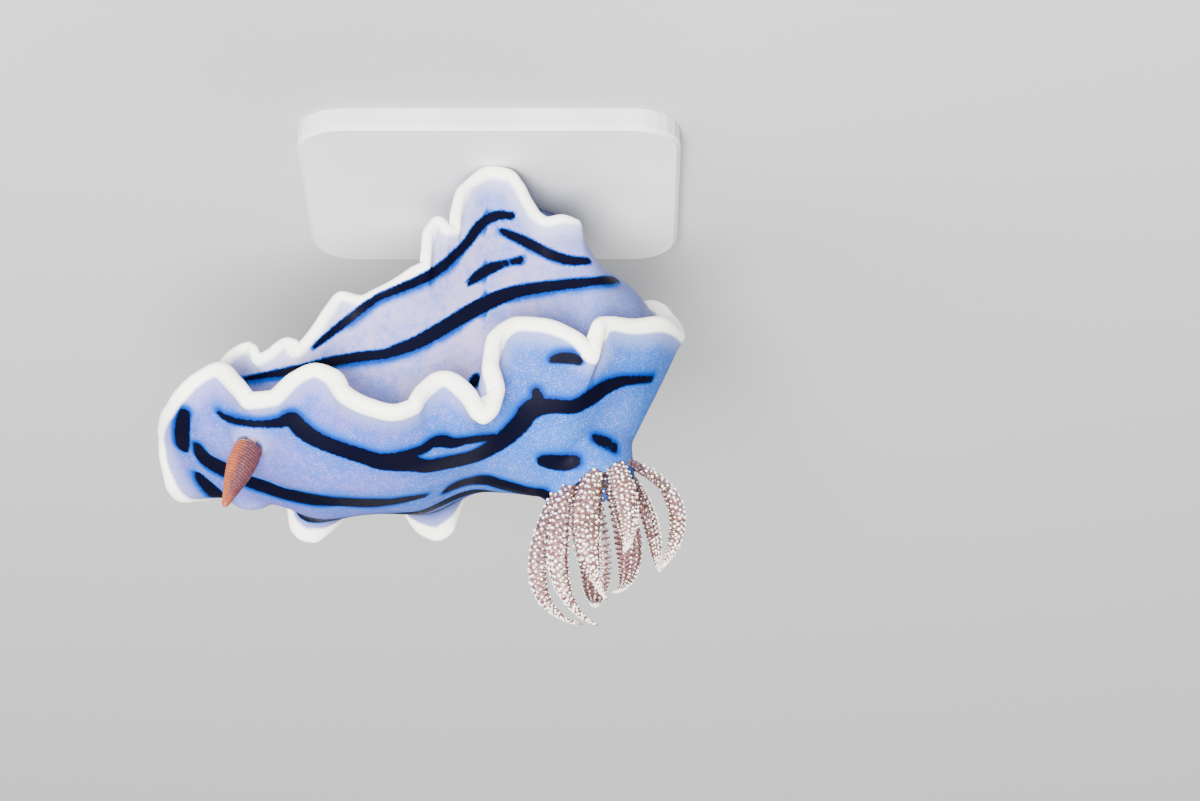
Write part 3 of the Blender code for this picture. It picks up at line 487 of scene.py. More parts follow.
LIP_BLEND = mm(0.8, 1.5)
flank_rings = slice(band_ends[2], band_ends[3])
mouth = np.zeros(1), np.full(1, MOUTH_DOWN)
raised(skin, flank_rings, flank(*mouth)[0], facing(flank, *mouth)[0], LIP_PROFILE, LIP_BLEND)
skin += PLACE
# How far each point is from the back line, along the skin.
ring_gaps = norm(np.diff(skin, axis=0), axis=-1)
run = np.concatenate((np.zeros((1, SKIN_STEPS)), np.cumsum(ring_gaps, axis=0)))


def grid_faces(rings, steps):
    """The four corners of each face between the rings, each ring closed on itself."""
    near = np.arange(steps)
    far = np.roll(near, -1)
    row = (np.arange(rings - 1) * steps)[:, None]
    below = row + steps
    return np.stack((row + near, below + near, below + far, row + far), axis=-1).reshape(-1, 4)


# Its black lines and spots, as the camera sees them: pixel x, pixel y and width in pixels along each.
BACK_LINES = {
    "right_line": (
        (218, 412, 3), (226, 418, 5), (236, 421, 6), (258, 424, 6), (278, 423, 9), (291, 419, 14),
        (300, 428, 16), (312, 437, 15), (332, 446, 14), (362, 456, 14), (385, 462, 16), (402, 462, 18),
        (425, 466, 12), (450, 462, 12), (472, 457, 12), (487, 450, 13), (505, 438, 16), (520, 424, 18),
        (532, 409, 19), (550, 406, 14), (570, 407, 13), (590, 398, 13), (607, 387, 12), (625, 381, 9),
        (652, 379, 5)),
    "upper_branch": (
        (398, 457, 9), (412, 453, 8), (424, 449, 8), (432, 443, 9), (442, 441, 12), (452, 443, 10),
        (464, 441, 7), (478, 439, 6), (494, 437, 5)),
    "spur": ((536, 391, 7), (538, 399, 12), (540, 406, 15)),
}
MIDDLE_LINES = {
    "front_middle": (
        (198, 446, 5), (204, 456, 9), (212, 463, 12), (225, 470, 13), (238, 476, 12), (253, 483, 11),
        (268, 488, 11), (285, 494, 10), (310, 499, 9), (345, 502, 8), (369, 503, 8), (389, 502, 6),
        (408, 499, 5), (424, 496, 3)),
    "rear_middle": (
        (446, 491, 3), (457, 485, 6), (472, 481, 7), (487, 480, 9), (497, 483, 9), (511, 487, 9),
        (527, 491, 8), (549, 494, 5)),
    "front_bar": ((185, 413, 10), (183, 423, 12), (182, 436, 11), (182, 447, 9)),
    "front_left": ((198, 474, 4), (204, 482, 8), (212, 490, 9), (219, 496, 5)),
}
SPOTS = {
    "lobe_spot": ((551, 360, 5), (560, 358, 10), (570, 358, 11), (579, 361, 8)),
    "rear_spot": ((544, 461, 11), (552, 462, 14), (565, 463, 15), (575, 461, 12)),
    "edge_spot": ((595, 438, 8), (602, 441, 10), (610, 445, 10), (615, 448, 8)),
}
SIDE_LINES = {
    "side_line": (
        (238, 380, 3), (262, 376, 5), (285, 372, 7), (310, 367, 8), (335, 361, 9), (360, 357, 9),
        (385, 354, 9), (400, 349, 11), (416, 343, 12), (433, 334, 13), (450, 324, 13), (470, 312, 14),
        (489, 302, 14), (503, 296, 13), (520, 291, 11), (545, 287, 10), (570, 284, 9), (600, 281, 7),
        (625, 279, 4)),
    "upper_line": (
        (314, 347, 3), (330, 334, 6), (348, 320, 7), (362, 309, 7), (376, 299, 6), (396, 290, 7),
        (416, 282, 8), (438, 270, 9), (454, 256, 8), (467, 243, 8), (477, 229, 9), (488, 219, 9),
        (500, 215, 8), (513, 216, 6)),
    "upper_rear": (
        (501, 231, 5), (515, 237, 8), (530, 244, 9), (545, 252, 9), (560, 258, 9), (575, 261, 8),
        (589, 261, 5)),
    "streak": (
        (468, 284, 4), (478, 276, 9), (489, 269, 10), (500, 265, 7), (511, 262, 5), (521, 260, 7)),
    "fold_streak": ((471, 389, 7), (475, 380, 8), (480, 370, 5)),
}
DOT_EVERY = 2.0
# How many times its seen width a line may have on the skin. Beyond the last, it only grazes it.
BACK_WIDEST = 3.0
MIDDLE_WIDEST = 4.0
SIDE_WIDEST = 1.6
GRAZING = 6
PLACE_EVENED = 6
WIDTH_EVENED = 4
LINE_LIMIT = 3 * MM
LINE_NEAREST = 0.05 * MM


def dots_of(rows):
    """Dots along a line of pixel points: their places and widths, and their ways along."""
    rows = np.array(rows, float)
    length = np.concatenate(((0.0,), np.cumsum(np.hypot(*np.diff(rows[:, :2], axis=0).T))))
    at = np.linspace(0.0, length[-1], int(length[-1] / DOT_EVERY) + 2)
    dots = eased(np.column_stack((length, rows)), at)
    return dots, unit(np.gradient(dots[:, :2], axis=0))


def ray_through(x, y):
    """The unit direction from the eye through a pixel: the sight, and the pixel's offsets from the
    middle over the focal length."""
    upwards = upward * (y - PHOTO_HEIGHT / 2) / FOCAL
    forwards = np.array((1.0, 0.0, 0.0)) * (x - PHOTO_WIDTH / 2) / FOCAL
    return unit(sight + upwards - forwards)


def evened(values, reach):
    """A running mean over this many neighbours each way, the ends held."""
    padded = np.concatenate([values[:1]] * reach + [values] + [values[-1:]] * reach)
    total = sum(padded[k:k + len(values)] for k in range(2 * reach + 1))
    return total / (2 * reach + 1)


def on_skin(rows, sheet, widest):
    """A line laid on the skin: both its borders are shot from the eye onto a sheet of the skin. It gives
    the place midway between the hits, half the way between them, held to the widest, and the means of
    their rings and steps."""
    dots, way = dots_of(rows)
    found = []
    for (x, y, width), (along_x, along_y) in zip(dots, way):
        hits = []
        for hand in (-1.0, 1.0):
            aim = ray_through(x + hand * along_y * width / 2, y - hand * along_x * width / 2)
            hits.append(sheet["tree"].ray_cast(Vector(eye), Vector(aim)))
        if hits[0][0] is None or hits[1][0] is None:
            continue
        ends = np.array([hit[0] for hit in hits])
        half = norm(ends[1] - ends[0]) / 2
        seen_half = width / 2 / PIXELS_A_MM * MM
        if half > GRAZING * seen_half:
            continue
        half = min(half, widest * seen_half)
        ring, step = np.mean([divmod(hit[2], SKIN_STEPS) for hit in hits], axis=0)
        found.append((*ends.mean(axis=0), half, sheet["start"] + ring, step))
    return evened(np.array(found), 1)


def sheet_of(start, end):
    """The part of the skin between two rings, ready to be shot at."""
    points = skin[start:end].reshape(-1, 3)
    faces = grid_faces(end - start, SKIN_STEPS)
    return {"tree": BVHTree.FromPolygons(points.tolist(), faces.tolist()), "start": start}


def mirrored(line, inward=0):
    """The same line on the other side of the body: the same ring or some rings further in, and the step
    counted the other way round."""
    ring = np.maximum(np.rint(line[:, 4]).astype(int) - inward, 0)
    step = np.rint(SKIN_STEPS - line[:, 5]).astype(int) % SKIN_STEPS
    place = evened(skin[ring, step], PLACE_EVENED)
    return np.column_stack((place, evened(line[:, 3], WIDTH_EVENED), line[:, 4], step))


back_sheet = sheet_of(0, band_ends[1])
side_sheet = sheet_of(band_ends[1], band_ends[4])
line_gap = np.full(skin.shape[:2], LINE_LIMIT)
line_side = np.zeros(skin.shape[:2])


def draw(line, start, end):
    """Draws a line on a sheet of the skin: each point keeps its least distance to any line's border, and
    how squarely it lies towards the mantle's edge from that line."""
    points = skin[start:end]
    low = line[:, :3].min(axis=0) - LINE_LIMIT
    high = line[:, :3].max(axis=0) + LINE_LIMIT
    close = np.all((points > low) & (points < high), axis=-1)
    distance = norm(points[close][:, None] - line[:, :3], axis=-1)
    nearest = np.argmin(distance - line[:, 3], axis=1)
    distance = distance[np.arange(len(nearest)), nearest]
    gap = distance - line[nearest, 3]
    ring = np.clip(np.rint(line[:, 4]).astype(int), 0, len(skin) - 1)
    step = np.rint(line[:, 5]).astype(int) % SKIN_STEPS
    lean = (run[start:end][close] - run[ring, step][nearest]) / np.maximum(distance, LINE_NEAREST)
    if start > 0:
        lean = -lean
    old = line_gap[start:end][close]
    line_side[start:end][close] = np.where(gap < old, np.clip(lean, -1, 1), line_side[start:end][close])
    line_gap[start:end][close] = np.minimum(gap, old)


LEFT_INWARD = 5
for rows in (*BACK_LINES.values(), *SPOTS.values()):
    line = on_skin(rows, back_sheet, BACK_WIDEST)
    draw(line, 0, band_ends[0])
    draw(mirrored(line, LEFT_INWARD), 0, band_ends[0])
for rows in MIDDLE_LINES.values():
    draw(on_skin(rows, back_sheet, MIDDLE_WIDEST), 0, band_ends[0])
# The left flank has the same lines, thinner and without the short streaks, and none at the rear end.
LEFT_WIDEST = 0.28 * MM
LEFT_STOP = 58
for name, rows in SIDE_LINES.items():
    line = on_skin(rows, side_sheet, SIDE_WIDEST)
    draw(line, band_ends[1], band_ends[4])
    if "streak" not in name:
        line = mirrored(line)
        line[:, 3] = np.minimum(line[:, 3], LEFT_WIDEST)
        draw(line[line[:, 5] > SKIN_STEPS // 2 + LEFT_STOP], band_ends[1], band_ends[4])
# No line runs down into the pocket of the gills.
POCKET_RIM = 2.5 * MM
pocket_reach = norm(skin - PLACE - POCKET_CENTRE, axis=-1)
line_gap = np.where(pocket_reach < POCKET_RIM, LINE_LIMIT, line_gap)
# The halo's side changes softly, so the sides are spread over their neighbours on the grid.
SPREADS = 6
for _ in range(SPREADS):
    line_side = (line_side + np.roll(line_side, 1, axis=1) + np.roll(line_side, -1, axis=1)) / 3
    line_side[1:-1] = (line_side[:-2] + line_side[1:-1] + line_side[2:]) / 3


WELD = 1e-7


def add_piece(name, points, faces, material):
    """A piece from points and faces, in its material."""
    mesh = bpy.data.meshes.new(name)
    mesh.from_pydata(points.tolist(), [], faces.tolist())
    piece = bpy.data.objects.new(name, mesh)
    bpy.context.scene.collection.objects.link(piece)
    mesh.materials.append(material)
    return piece


def keep_values(mesh, **values):
    """Keeps values for the material: each has a number for each point of the mesh, or one for all."""
    for name, numbers in values.items():
        store = mesh.attributes.new(name, "FLOAT", "POINT")
        store.data.foreach_set("value", np.resize(np.asarray(numbers, np.float32), len(mesh.vertices)))


def add_rings(name, points, material, **values):
    """A smooth piece from rings of points, each closed on itself. Once it has its values, its doubled
    points, as at a closed end, are welded and its faces turned outwards."""
    piece = add_piece(name, points.reshape(-1, 3), grid_faces(*points.shape[:2]), material)
    mesh = piece.data
    keep_values(mesh, **values)
    shape = bmesh.new()
    shape.from_mesh(mesh)
    bmesh.ops.remove_doubles(shape, verts=shape.verts, dist=WELD)
    bmesh.ops.recalc_face_normals(shape, faces=shape.faces)
    if shape.calc_volume(signed=True) < 0:
        bmesh.ops.reverse_faces(shape, faces=shape.faces)
    shape.to_mesh(mesh)
    shape.free()
    mesh.shade_smooth()
    return piece


class Finish:
    """A material under construction: its node tree, and short ways to add nodes to it."""

    def __init__(self, name):
        self.material = bpy.data.materials.new(name)
        self.material.use_nodes = True
        self.tree = self.material.node_tree
        self.shader = self.tree.nodes["Principled BSDF"]
        self.place = self.add("ShaderNodeTexCoord").outputs["Object"]

    def plug(self, socket, value):
        """Puts a value or a link into a socket."""
        if isinstance(value, bpy.types.NodeSocket):
            self.tree.links.new(value, socket)
        else:
            socket.default_value = value

    def add(self, kind, sockets=(), **settings):
        """A node with its settings, and with values or links in its sockets."""
        node = self.tree.nodes.new(kind)
        for name, value in settings.items():
            setattr(node, name, value)
        for name, value in dict(sockets).items():
            self.plug(node.inputs[name], value)
        return node

    def value(self, name):
        """A number kept on the mesh."""
        return self.add("ShaderNodeAttribute", attribute_name=name).outputs["Fac"]

    def calc(self, kind, a, b=0.0, c=0.0):
        """Arithmetic on numbers."""
        return self.add("ShaderNodeMath", {0: a, 1: b, 2: c}, operation=kind).outputs[0]

    def ramp(self, value, start, end, low=0.0, high=1.0):
        """A soft step from low to high while the value goes from start to end."""
        sockets = {"Value": value, "From Min": start, "From Max": end, "To Min": low, "To Max": high}
        return self.add("ShaderNodeMapRange", sockets, interpolation_type="SMOOTHSTEP").outputs["Result"]

    def mix(self, share, a, b):
        """Colour a, going over to colour b by a share."""
        node = self.add("ShaderNodeMix", {0: share, 6: a, 7: b}, data_type="RGBA", clamp_factor=True)
        return node.outputs[2]

    def lay(self, colour, value, start, end, high=1.0):
        """Lays a colour over the one so far, up to a share, as the value goes from start to end."""
        self.colour = self.mix(self.ramp(value, start, end, 0.0, high), self.colour, colour)

    def noise(self, size, detail=2.0, roughness=0.5):
        """Cloudy noise with blotches of this size."""
        sockets = {"Vector": self.place, "Scale": 1.0 / size, "Detail": detail, "Roughness": roughness}
        return self.add("ShaderNodeTexNoise", sockets).outputs["Fac"]

    def grains(self, size):
        """Distance to the nearest of many scattered grains, in grain sizes."""
        sockets = {"Vector": self.place, "Scale": 1.0 / size}
        return self.add("ShaderNodeTexVoronoi", sockets).outputs["Distance"]

    def bump(self, height, strength, distance):
        """Fine relief."""
        node = self.add("ShaderNodeBump", {"Height": height, "Strength": strength, "Distance": distance})
        self.set(normal=node.outputs[0])

    def set(self, **sockets):
        """Values or links for the shader's own sockets."""
        for name, value in sockets.items():
            self.plug(self.shader.inputs[name.replace("_", " ").title().replace("Ior", "IOR")], value)


def rgb(red, green, blue):
    """An opaque colour."""
    return red, green, blue, 1.0


# Skin colours.
BACK_BLUE = rgb(0.032, 0.095, 0.41)
BACK_AZURE = rgb(0.012, 0.115, 0.40)
BACK_DEEP = rgb(0.004, 0.07, 0.34)
BACK_LILAC = rgb(0.105, 0.108, 0.40)
SIDE_LILAC = rgb(0.30, 0.25, 0.45)
SIDE_BLUE = rgb(0.12, 0.16, 0.44)
SIDE_PAINTED_SHADE = rgb(0.09, 0.13, 0.36)
FOOT_PALE = rgb(0.42, 0.44, 0.62)
MARGIN_PALE = rgb(0.40, 0.40, 0.58)
SPECK_WHITE = rgb(0.36, 0.38, 0.62)
EDGE_WHITE = rgb(0.98, 0.96, 0.87)
LINE_BLACK = rgb(0.002, 0.002, 0.008)
HALO_AZURE = rgb(0.002, 0.075, 0.36)
HALO_DEEP = rgb(0.0, 0.022, 0.19)
POCKET_BROWN = rgb(0.09, 0.045, 0.05)

paint = Finish("living_skin")
kept = ("line_gap", "line_side", "rim_gap", "foot_gap", "under")
gap_now, side_now, rim_now, foot_now, under_now = map(paint.value, kept)
blotches = paint.noise(3.0 * MM, 3.0)
fine = paint.noise(0.22 * MM, 3.0, 0.7)
grain = paint.grains(0.11 * MM)
mottle = paint.noise(0.5 * MM, 4.0, 0.75)
station = paint.add("ShaderNodeSeparateXYZ", {0: paint.place}).outputs["X"]
forward = paint.ramp(station, -6 * MM, 14 * MM, -0.1, 0.2)
clouds = paint.calc("ADD", blotches, mottle)
paint.colour = BACK_BLUE
paint.lay(BACK_LILAC, paint.calc("ADD", clouds, forward), 0.75, 1.2)
rearward = paint.calc("ADD", station, paint.calc("MULTIPLY", mottle, 6 * MM))
paint.lay(BACK_AZURE, rearward, 9 * MM, -9 * MM, 0.62)
paint.lay(BACK_DEEP, gap_now, 1.4 * MM, 0.1 * MM, 0.6)
back = paint.colour
paint.colour = SIDE_LILAC
paint.lay(SIDE_BLUE, clouds, 0.8, 1.25)
# Painted shade: the flank darkens towards its rear end, where it lies in shade.
paint.lay(SIDE_PAINTED_SHADE, station, -4 * MM, -12 * MM, 0.75)
paint.colour = paint.mix(under_now, back, paint.colour)
speck = paint.ramp(grain, 0.42, 0.18)
speck = paint.calc("MULTIPLY", speck, paint.ramp(mottle, 0.4, 0.62, 0.2, 0.6))
paint.colour = paint.mix(speck, paint.colour, SPECK_WHITE)
paint.lay(FOOT_PALE, foot_now, 1.8 * MM, 0.4 * MM, 0.8)
paint.lay(MARGIN_PALE, rim_now, 2.2 * MM, 0.8 * MM, 0.4)
soft_step = paint.calc("MULTIPLY", paint.calc("SUBTRACT", mottle, 0.5), 0.3 * MM)
paint.lay(EDGE_WHITE, paint.calc("ADD", foot_now, soft_step), 0.75 * MM, 0.4 * MM, 0.92)
jag = paint.calc("MULTIPLY", paint.calc("SUBTRACT", fine, 0.5), 0.22 * MM)
ragged = paint.calc("ADD", gap_now, jag)
wide = paint.ramp(side_now, -0.5, 0.7, 0.18 * MM, 0.60 * MM)
near_line = paint.calc("SUBTRACT", 1.0, paint.calc("DIVIDE", ragged, wide))
paint.lay(HALO_AZURE, near_line, -0.1, 0.7)
paint.lay(HALO_DEEP, near_line, 0.35, 0.95)
ragged_rim = paint.calc("ADD", rim_now, paint.calc("MULTIPLY", jag, 0.6))
paint.lay(EDGE_WHITE, ragged_rim, 0.98 * MM, 0.72 * MM)
paint.lay(LINE_BLACK, ragged, 0.05 * MM, -0.01 * MM)
paint.colour = paint.mix(paint.value("pocket"), paint.colour, POCKET_BROWN)
paint.set(base_color=paint.colour, roughness=paint.ramp(fine, 0.3, 0.7, 0.36, 0.5),
          subsurface_weight=0.06, subsurface_radius=(1.0, 0.8, 0.7), subsurface_scale=0.2 * MM,
          specular_ior_level=0.015)
paint.bump(paint.calc("ADD", fine, speck), 0.25, 0.02 * MM)

# The white of the skirt's edge is wider on the left side, where the frill stands high.
HIGH_FRILL = 18 * MM
FRILL_OVER = 3 * MM
WIDER = 0.6
high = smooth((skin[mantle_edge, :, 2] - HIGH_FRILL) / FRILL_OVER)
pale_gap = rim_gap / (1 + WIDER * smooth(np.sin(-skin_angle)) * high)
# A pale collar lies round each rhinophore's sheath.
COLLAR_REACH = 0.9 * MM
COLLAR_GAP = 1.1 * MM
for sheath in SHEATHS.values():
    away = norm(skin - PLACE - sheath["foot"], axis=-1)
    pale_gap = np.minimum(pale_gap, COLLAR_GAP + np.maximum(away - COLLAR_REACH, 0.0))
# The white of the foot's edge fades between two angles, where the edge turns off behind the rear flank.
FADE_FROM, FADE_TO = 2.45, 3.7
FADE_IN, FADE_OUT = 0.2, 0.3
FADE_GAP = 0.9 * MM
fade = smooth((skin_angle - FADE_FROM) / FADE_IN) * smooth((FADE_TO - skin_angle) / FADE_OUT)
# The pocket's floor is brown.
POCKET_FLOOR = 2.4 * MM
POCKET_OVER = 0.5 * MM
POCKET_SHARE = 0.9
skin_piece = add_rings(
    "skin", skin, paint.material, line_gap=line_gap, line_side=line_side,
    pocket=POCKET_SHARE * smooth((POCKET_FLOOR - pocket_reach) / POCKET_OVER),
    rim_gap=pale_gap, foot_gap=foot_gap + FADE_GAP * fade,
    under=np.repeat(ring_number >= band_ends[1], SKIN_STEPS))
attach(skin_piece, "root")
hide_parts("mantle", "trunk", "head", "foot", "tail")


# The rhinophores. Each is a smell organ on a short stalk: a club of thin leaves stacked on a slant round
# a stem. They are soft, see-through orange brown, and can be drawn in. The left one is drawn in.
RHINOPHORES = {
    "right": {"length": 5.6 * MM, "width": 1.85 * MM, "leaves": 24},
    "left": {"length": 1.15 * MM, "width": 1.0 * MM, "leaves": 5},
}
CLUB_SINK = 0.4 * MM
CLUB_SIDES = 48
# The shares of its length in which its foot and its tip close.
CLUB_ENDS = (0.002, 0.04)
# It is a little flat from side to side, and a leaf lies lower at the back by this share of its length.
CLUB_FLAT = 0.9
CLUB_SLANT = 0.035
LEAF_DEPTH = 0.08
LEAF_SHARP = 0.7
CLUB_SWELL = np.array(((0.0, 0.7), (0.1, 0.97), (0.28, 1.0), (0.6, 0.74), (0.85, 0.4), (1.0, 0.2)))
RINGS_A_LEAF = 8
STALK_SHARE = 0.12
STALK_RADIUS = 0.33
STALK_FLARE = 0.06
SWELL_EARLY = 0.03
SWELL_OVER = 0.08


def round_and_up(sides, rings):
    """The turn and the height at each point of a tube's skin."""
    return np.meshgrid(np.linspace(0.0, TURN, sides, endpoint=False), np.linspace(0.0, 1.0, rings))


def closed(height, foot, tip):
    """The factor on a tube's radius that closes its ends: straight at the foot, round at the tip."""
    return np.clip(height / foot, 0.0, 1.0) * np.sqrt(np.clip((1 - height) / tip, 0.0, 1.0))


def leaf_wave(size, height, turn):
    """A wave with straight sides up the club's height: 0 between two leaves and 1 on a leaf's edge."""
    wave = (height + CLUB_SLANT * np.cos(turn) - STALK_SHARE) / (1 - STALK_SHARE) * size["leaves"]
    return 1 - np.abs(2 * (wave - np.floor(wave)) - 1)


def club_skin(size, height, turn):
    """The club's radius is a stalk, then a long swell, cut into leaves by the sharpened wave."""
    share = np.clip((height - STALK_SHARE) / (1 - STALK_SHARE), 0.0, 1.0)
    leaf = 1 - LEAF_DEPTH + LEAF_DEPTH * leaf_wave(size, height, turn) ** LEAF_SHARP
    stalk = STALK_RADIUS + STALK_FLARE * smooth((STALK_SHARE - height) / STALK_SHARE)
    above = height + CLUB_SLANT * np.cos(turn) - STALK_SHARE
    radius = np.where(above < 0, stalk, eased(CLUB_SWELL, share)[..., 0] * leaf)
    radius = stalk + smooth((above + SWELL_EARLY) / SWELL_OVER) * (radius - stalk)
    radius = size["width"] / 2 * radius * closed(height, *CLUB_ENDS)
    x, y = radius * np.cos(turn), CLUB_FLAT * radius * np.sin(turn)
    return np.stack((x, y, height * size["length"]), axis=-1)


def stood(points, foot, way):
    """Points made round the Z axis, set on a foot with their axis along a way."""
    turn = np.array(Vector((0, 0, 1)).rotation_difference(Vector(way).normalized()).to_matrix())
    return points @ turn.T + foot


CLUB_BROWN = rgb(0.082, 0.026, 0.033)
CLUB_ORANGE = rgb(0.30, 0.068, 0.018)
CLUB_PAINTED_SHADE = rgb(0.07, 0.022, 0.022)
CLUB_SPECK_AND_GLINT = rgb(0.60, 0.46, 0.46)
club = Finish("club_skin")
club_height = club.value("height")
club_stem = club.calc("ADD", club.value("stem"), club.calc("MULTIPLY", club.noise(0.5 * MM, 3.0), 0.5))
club.colour = CLUB_ORANGE
club.lay(CLUB_BROWN, club_stem, 0.4, 0.85)
# Painted shade: the club darkens in the grooves between its leaves.
club.lay(CLUB_PAINTED_SHADE, club.value("leaf"), 0.7, 0.1, 0.45)
club.lay(CLUB_ORANGE, club_height, 0.75, 1.0, 0.6)
# White specks on the club, its own colour.
club.lay(CLUB_SPECK_AND_GLINT, club.grains(0.16 * MM), 0.3, 0.1, 0.16)
# Painted highlight: the club's foot and stalk are pale, standing in for a white glint at its base.
club.lay(CLUB_SPECK_AND_GLINT, club_height, 0.2, 0.12, 0.8)
club.set(base_color=club.colour, roughness=0.42, subsurface_weight=0.4,
         subsurface_radius=(1.0, 0.4, 0.25), subsurface_scale=0.4 * MM, specular_ior_level=0.16)
club.bump(club.noise(0.12 * MM), 0.2, 0.02 * MM)
for hand, size in RHINOPHORES.items():
    rings = int(size["leaves"] * RINGS_A_LEAF / (1 - STALK_SHARE))
    turn, height = round_and_up(CLUB_SIDES, rings)
    way = np.array(SHEATHS[hand]["way"])
    foot = SHEATHS[hand]["foot"] + PLACE - CLUB_SINK * way
    piece = add_rings(
        f"rhinophore_club_{hand}", stood(club_skin(size, height, turn), foot, way), club.material,
        height=height, leaf=leaf_wave(size, height, turn), stem=0.5 - 0.5 * np.cos(turn))
    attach(piece, "root")
    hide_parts(f"rhinophore_{hand}")


# The oral tentacles. A soft blunt feeler stands at each side of the mouth. It is grown from the head, in
# the flank's pale skin, and thins towards its tip.
FEELER_ANGLE = math.radians(24)
FEELER_DOWN = 0.45
FEELER_LENGTH = 1.9 * MM
FEELER_RADIUS = 0.5 * MM
FEELER_SINK = 0.35 * MM
FEELER_SIDES = 24
FEELER_ENDS = (0.01, 0.15)
# Its radius at the foot, what it loses to the tip and the power that it loses it by.
FEELER_FOOT = 1.15
FEELER_TAPER = 0.75
FEELER_SWELL = 1.3
# It is pale at the tip as the foot's edge is, and has no white rim.
FEELER_PALE = 4 * MM
FAR_OFF = 5 * MM
for hand, side in (("right", 1.0), ("left", -1.0)):
    spot = np.full(1, side * FEELER_ANGLE), np.full(1, FEELER_DOWN)
    way = facing(flank, *spot)[0]
    turn, height = round_and_up(FEELER_SIDES, FEELER_SIDES)
    radius = FEELER_RADIUS * (FEELER_FOOT - FEELER_TAPER * height**FEELER_SWELL)
    radius = radius * closed(height, *FEELER_ENDS)
    points = np.stack((radius * np.cos(turn), radius * np.sin(turn), FEELER_LENGTH * height), axis=-1)
    points = stood(points, flank(*spot)[0] + PLACE - FEELER_SINK * way, way)
    piece = add_rings(f"mouth_feeler_{hand}", points, paint.material, line_gap=LINE_LIMIT,
                      rim_gap=FAR_OFF, foot_gap=FEELER_PALE * (1 - height), under=1.0, pocket=0.0)
    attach(piece, "root")
    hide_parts(f"oral_tentacle_{hand}")


# The gills. Eight feathery plumes stand in a ring in their pocket: thin see-through skin with leaflets
# packed along both sides. Rows of opaque white beads lie on them.
PLUME_WAY = unit(np.array((-0.06, 0.0, 1.0)))
PLUME_RING = 2.1 * MM
# A plume starts so far over the pocket's slope, and its foot stands deeper. It climbs by these shares of
# its rise, and draws out by its lean and then by what that leaves of the sum.
PLUME_START = 0.64 * MM
PLUME_FOOT = -0.9 * MM
PLUME_CLIMB = np.array((0.0, 0.42, 0.98, 1.0))
LEAN_SUM = 2.6
# Each plume's bearing in degrees and its lean, then its reach, rise, tip, bow, swing and width in mm.
PLUMES = (
    (24, 1.1, 4.5, 8.1, 0.9, 0.1, -0.8, 2.2),
    (48, 1.15, 4.4, 8.6, 0.3, 0.1, 0.0, 1.8),
    (99, 1.15, 4.7, 8.0, 1.6, -1.5, 0.1, 1.95),
    (134, 1.35, 3.75, 5.3, 2.1, -0.85, 0.1, 2.3),
    (160, 1.8, 5.35, 6.45, 3.85, -0.45, 0.4, 2.0),
    (197, 1.6, 3.7, 5.85, 4.0, 0.1, 0.0, 1.7),
    (233, 1.4, 3.4, 6.65, 1.6, -0.35, 0.4, 2.1),
    (283, 0.5, 3.65, 6.75, 1.5, -0.5, -0.1, 2.2),
)
PLUME_LEAFLETS = 26
LEAFLET_SLANT = 0.7
RINGS_A_LEAFLET = 6
PLUME_SIDES = 32
PLUME_WIDTHS = np.array((
    (0.0, 0.65), (0.14, 0.86), (0.36, 1.0), (0.6, 0.78), (0.78, 0.42), (0.9, 0.2), (1.0, 0.06),
))


def plume_line(bearing, lean, reach, rise, tip, bow, swing, share):
    """The middle line of a plume: up out of the pocket, arching outwards, its tip curling in again."""
    right = np.array((0.0, -1.0, 0.0))
    way = math.cos(bearing) * np.cross(PLUME_WAY, right) + math.sin(bearing) * right
    slope = -PLUME_RING * np.dot(CROWN_WAY, way) / np.dot(CROWN_WAY, PLUME_WAY)
    height = slope + PLUME_START + rise * PLUME_CLIMB
    height[0] += PLUME_FOOT
    spread = PLUME_RING + np.array((0.0, lean, LEAN_SUM - lean)) * (reach - PLUME_RING)
    side = np.cross(way, PLUME_WAY)
    share = share[..., None]
    radius = bezier(*spread, tip, share)
    level = bezier(*height, share)
    sideways = 4 * bow * share * (1 - share) + swing * share**2
    return CROWN_CENTRE + PLACE + radius * way + sideways * side + level * PLUME_WAY, side


def leaflet_groove(share, turn):
    """A wave up the plume with a leaflet at each 0, slanted towards the tip at both sides."""
    return 0.5 - 0.5 * np.cos(TURN * (share * PLUME_LEAFLETS - LEAFLET_SLANT * np.abs(np.cos(turn))))


# In half widths: the lens's height over and under its middle, and how far its sides bend in. The grooves
# pinch its width by shares, in the middle and more at the sides, and its height likewise.
PLUME_ENDS = (0.004, 0.02)
LENS_OVER, LENS_UNDER, LENS_BEND = 0.34, 0.22, 0.42
GROOVE_SHARP = 1.5
PINCH_MIDDLE, PINCH_SIDES = 0.06, 0.20
DEPTH, DEPTH_MIDDLE, DEPTH_SIDES = 0.45, 0.35, 0.65


def plume_skin(row, share, turn):
    """A plume's skin: carried along its middle line, a flat lens across it that bends inwards at its two
    sides. The wave of leaflets pinches it in between them."""
    bearing = math.radians(row[0])
    *arch, width = np.array(row[2:]) * MM
    line, side = plume_line(bearing, row[1], *arch, share)
    before, _ = plume_line(bearing, row[1], *arch, np.maximum(share - SMALL_STEP, 0.0))
    after, _ = plume_line(bearing, row[1], *arch, np.minimum(share + SMALL_STEP, 1.0))
    outer = np.cross(unit(after - before), side)
    half = width / 2 * eased(PLUME_WIDTHS, share)[..., 0]
    across = np.cos(turn)
    groove = leaflet_groove(share, turn) ** GROOVE_SHARP
    pinch = 1 - groove * (PINCH_MIDDLE + PINCH_SIDES * across**2)
    upright = np.sin(turn) * np.where(np.sin(turn) > 0, LENS_OVER, LENS_UNDER)
    depth = DEPTH * groove * (DEPTH_MIDDLE + DEPTH_SIDES * np.abs(across))
    level = upright * (1 - depth) - LENS_BEND * across**2
    scale = (half * closed(share, *PLUME_ENDS))[..., None]
    return line + scale * ((across * pinch)[..., None] * side + level[..., None] * outer)


